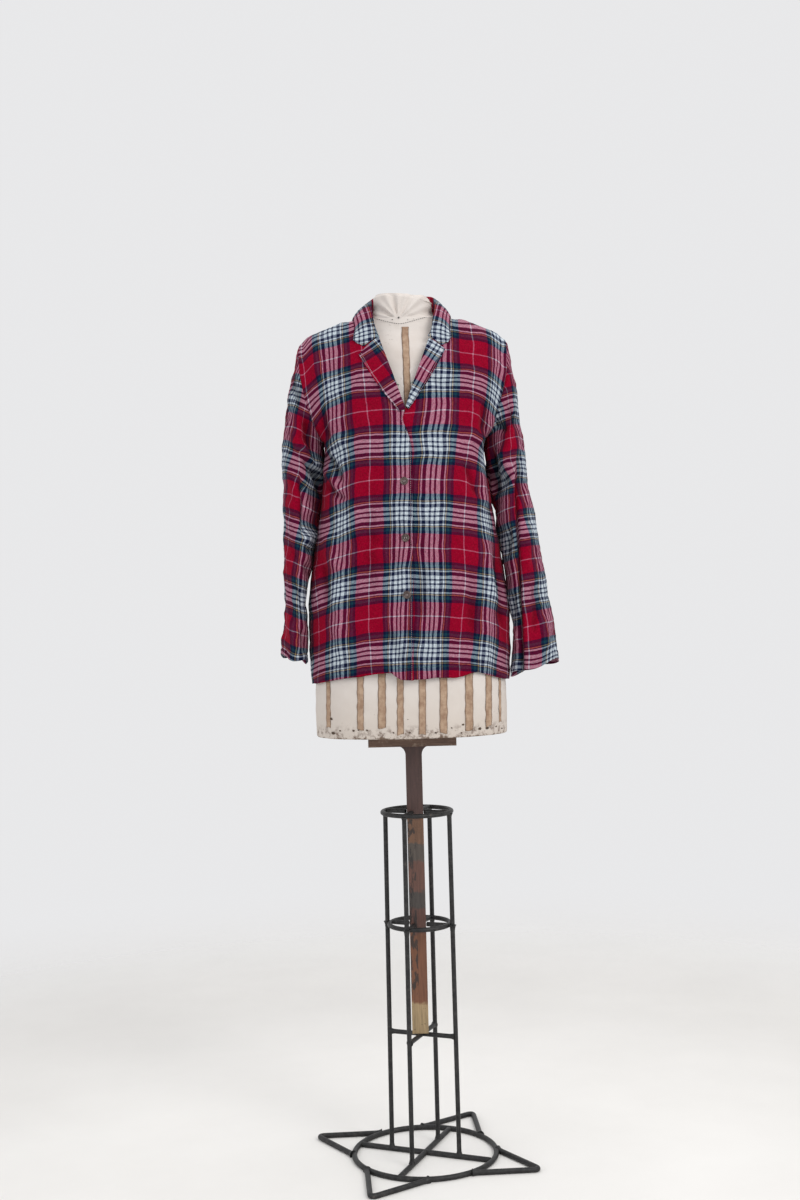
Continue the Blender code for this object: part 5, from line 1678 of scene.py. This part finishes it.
BACK_CREASES = millimetres(
    CREASE_COLUMNS,
    (-150, 1370, -120, 1300, -3, 9, 3),
    (152, 1365, 118, 1285, -3.5, 9, -3),
    (-140, 1340, -75, 1255, 3.5, 12, 5),
    (140, 1330, 70, 1235, 3, 13, -4),
    (-150, 1290, -98, 1215, -3, 8, 3),
    (150, 1280, 105, 1190, -3.5, 8, -2),
    (-85, 1200, -80, 960, 3, 14, 5),
    (-45, 1150, -52, 940, -2.5, 13, -4),
    (15, 1220, 10, 950, 2.5, 16, 4),
    (65, 1180, 72, 920, -3, 12, 4),
    (110, 1160, 118, 930, 3, 13, -4),
    (-125, 1140, -132, 950, -2.5, 10, 3),
    (40, 1440, -50, 1430, 1.5, 12, 4),
    (-100, 1450, -30, 1400, -1.5, 14, 5),
)
SLEEVE_CREASES = {
    -1: millimetres(
        CREASE_COLUMNS,
        (200, 1430, 190, 1370, -3, 8, 0),
        (179.5, 1360, 172.5, 1290, -4.5, 8, 0),
        (198, 1318, 156, 1262, 5, 8, 3),
        (186, 1285, 156, 1245, -4.5, 6, 0),
        (164, 1270, 152, 1215, -6, 8, 0),
        (210, 1215, 195, 1160, 3, 8, 0),
        (192, 1135, 156, 1152, 3.5, 7, 0),
        (183, 1118, 152, 1130, -7, 6, 0),
        (185, 1095, 176, 1050, -4.5, 6, 0),
        (205, 1060, 190, 990, -2.8, 8, 2),
        (215, 1000, 206, 945, 2.8, 8, 0),
        (195, 975, 188, 925, -4.5, 7, 0),
    ),
    1: millimetres(
        CREASE_COLUMNS,
        (165.5, 1425, 196, 1362, 3.5, 9, 3),
        (180, 1395, 202, 1330, -3.5, 7, 0),
        (149, 1354, 142.5, 1327, -5, 7, 0),
        (160.5, 1350, 183, 1325, -4.5, 6, 0),
        (170, 1300, 196, 1240, 3.5, 8, 2),
        (164, 1300, 164, 1215, -6.5, 6, 0),
        (205, 1290, 212, 1200, -2.8, 6, 0),
        (185, 1245, 168, 1215, -3.5, 6, 0),
        (185, 1150, 180, 1090, -4.5, 6, 0),
        (215, 1150, 218, 1070, 2.8, 8, 0),
        (225, 1050, 232, 965, -2.8, 8, 0),
        (190, 1030, 186, 960, -4.5, 6, 0),
        (240, 985, 250, 925, 3.2, 8, 0),
    ),
}
BACK_SLEEVE_CREASES = millimetres(
    CREASE_COLUMNS,
    (205, 1360, 165, 1290, -4, 8, 3),
    (175, 1335, 205, 1255, 3.5, 9, 3),
    (165, 1265, 212, 1215, -4.5, 7, -3),
    (170, 1235, 215, 1175, 3.5, 8, 2),
    (172, 1180, 216, 1145, -4.5, 7, 2),
    (180, 1120, 222, 1075, 3.2, 8, 2),
    (190, 1070, 225, 1010, -3.5, 8, 0),
    (200, 1010, 235, 945, 3.2, 9, 2),
)


def wear(piece, slot, *nodes):
    """Seats a piece on the part: it rides on it and stands for CAD nodes. The slot is not used."""
    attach(piece, "root")
    if nodes:
        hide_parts(*nodes)


def dress(node, grid, thickness=CLOTH, closed=False):
    """Puts a shell of flannel in the place of a CAD node."""
    wear(cloth_object("cloth_" + node, grid, thickness, closed), "flannel", node)


# ---------------------------------------------------------------- the dressed part
bpy.context.scene.view_settings.view_transform = "Standard"
FLANNEL = flannel_material()
CANVAS = canvas_material()
IRON = iron_material()
BUTTON = mottled("button horn", 0.35, (0.020, 0.012, 0.010), (0.125, 0.080, 0.070), 330.0, 0.0003)
# Painted shade: the near-black of the discs that stand for the shade inside the buttons' holes.
DARK = mottled("button holes", 0.8, (0.008, 0.007, 0.006), (0.020, 0.016, 0.014), 900.0)
THREAD = mottled("pale thread", 0.85, (0.34, 0.27, 0.28), (0.58, 0.50, 0.50), 1500.0)
DARK_THREAD = mottled("dark thread", 0.85, (0.010, 0.012, 0.022), (0.050, 0.030, 0.050), 1500.0)
BLACK_THREAD = mottled("black thread", 0.85, (0.010, 0.010, 0.010), (0.060, 0.055, 0.050), 900.0)
GREEN_THREAD = mottled("green thread", 0.85, (0.010, 0.110, 0.070), (0.040, 0.220, 0.150), 900.0)
TAPE = mottled("paper tape", 0.85, (0.270, 0.165, 0.105), (0.440, 0.310, 0.215), 90.0, 0.0003)
GLUE = mottled("old glue", 0.8, (0.130, 0.075, 0.048), (0.300, 0.205, 0.145), 160.0, 0.0002)
RUST = mottled("rust", 0.9, (0.022, 0.014, 0.009), (0.120, 0.070, 0.040), 500.0, 0.0002)
camera()
stage_set()

fronts = {side: front_grid(side, FRONT_CREASES[side], 20 + side) for side in SIDES}
back = back_grid(BACK_CREASES, 31)
sleeves = {side: sleeve_grid(side, fronts[side], back, SLEEVE_CREASES[side], 41 + side)
           for side in SIDES}
lapels = {side: lapel_grid(side) for side in SIDES}
collar = collar_grid()
for side, name in SIDES.items():
    dress("front_" + name, fronts[side])
    dress("sleeve_" + name, sleeves[side], closed=True)
    dress("lapel_" + name, lapels[side], FACED)
dress("back", back)
dress("collar", collar, FACED)
for number, height in enumerate(BUTTON_Z, start=1):
    disc, *small = make_button(number, height)
    wear(disc, "button", f"button_{number}")
    for piece in small:
        wear(piece, "button")
make_sewing()
wear(make_form(), "canvas", "form_torso", "form_neck")
wear(make_tapes("form_glue", 1.0, 0.0000, GLUE), "canvas")
wear(make_tapes("form_tapes", 0.84, 0.0003, TAPE), "canvas")
for piece in (make_spots(), make_tacks(), make_green_thread()):
    wear(piece, "canvas")
wear(make_stand(), "iron", *(name for name in NODES if name.split("_")[0] in IRON_PARTS))
for name, finish in (("cross_board", board_material()), ("post", post_material())):
    NODES[name].data.materials.clear()
    NODES[name].data.materials.append(finish)
    worn_edge = NODES[name].modifiers.new("worn edge", "BEVEL")
    worn_edge.width = 0.0012
    worn_edge.segments = 2
    worn_edge.angle_limit = math.radians(40)
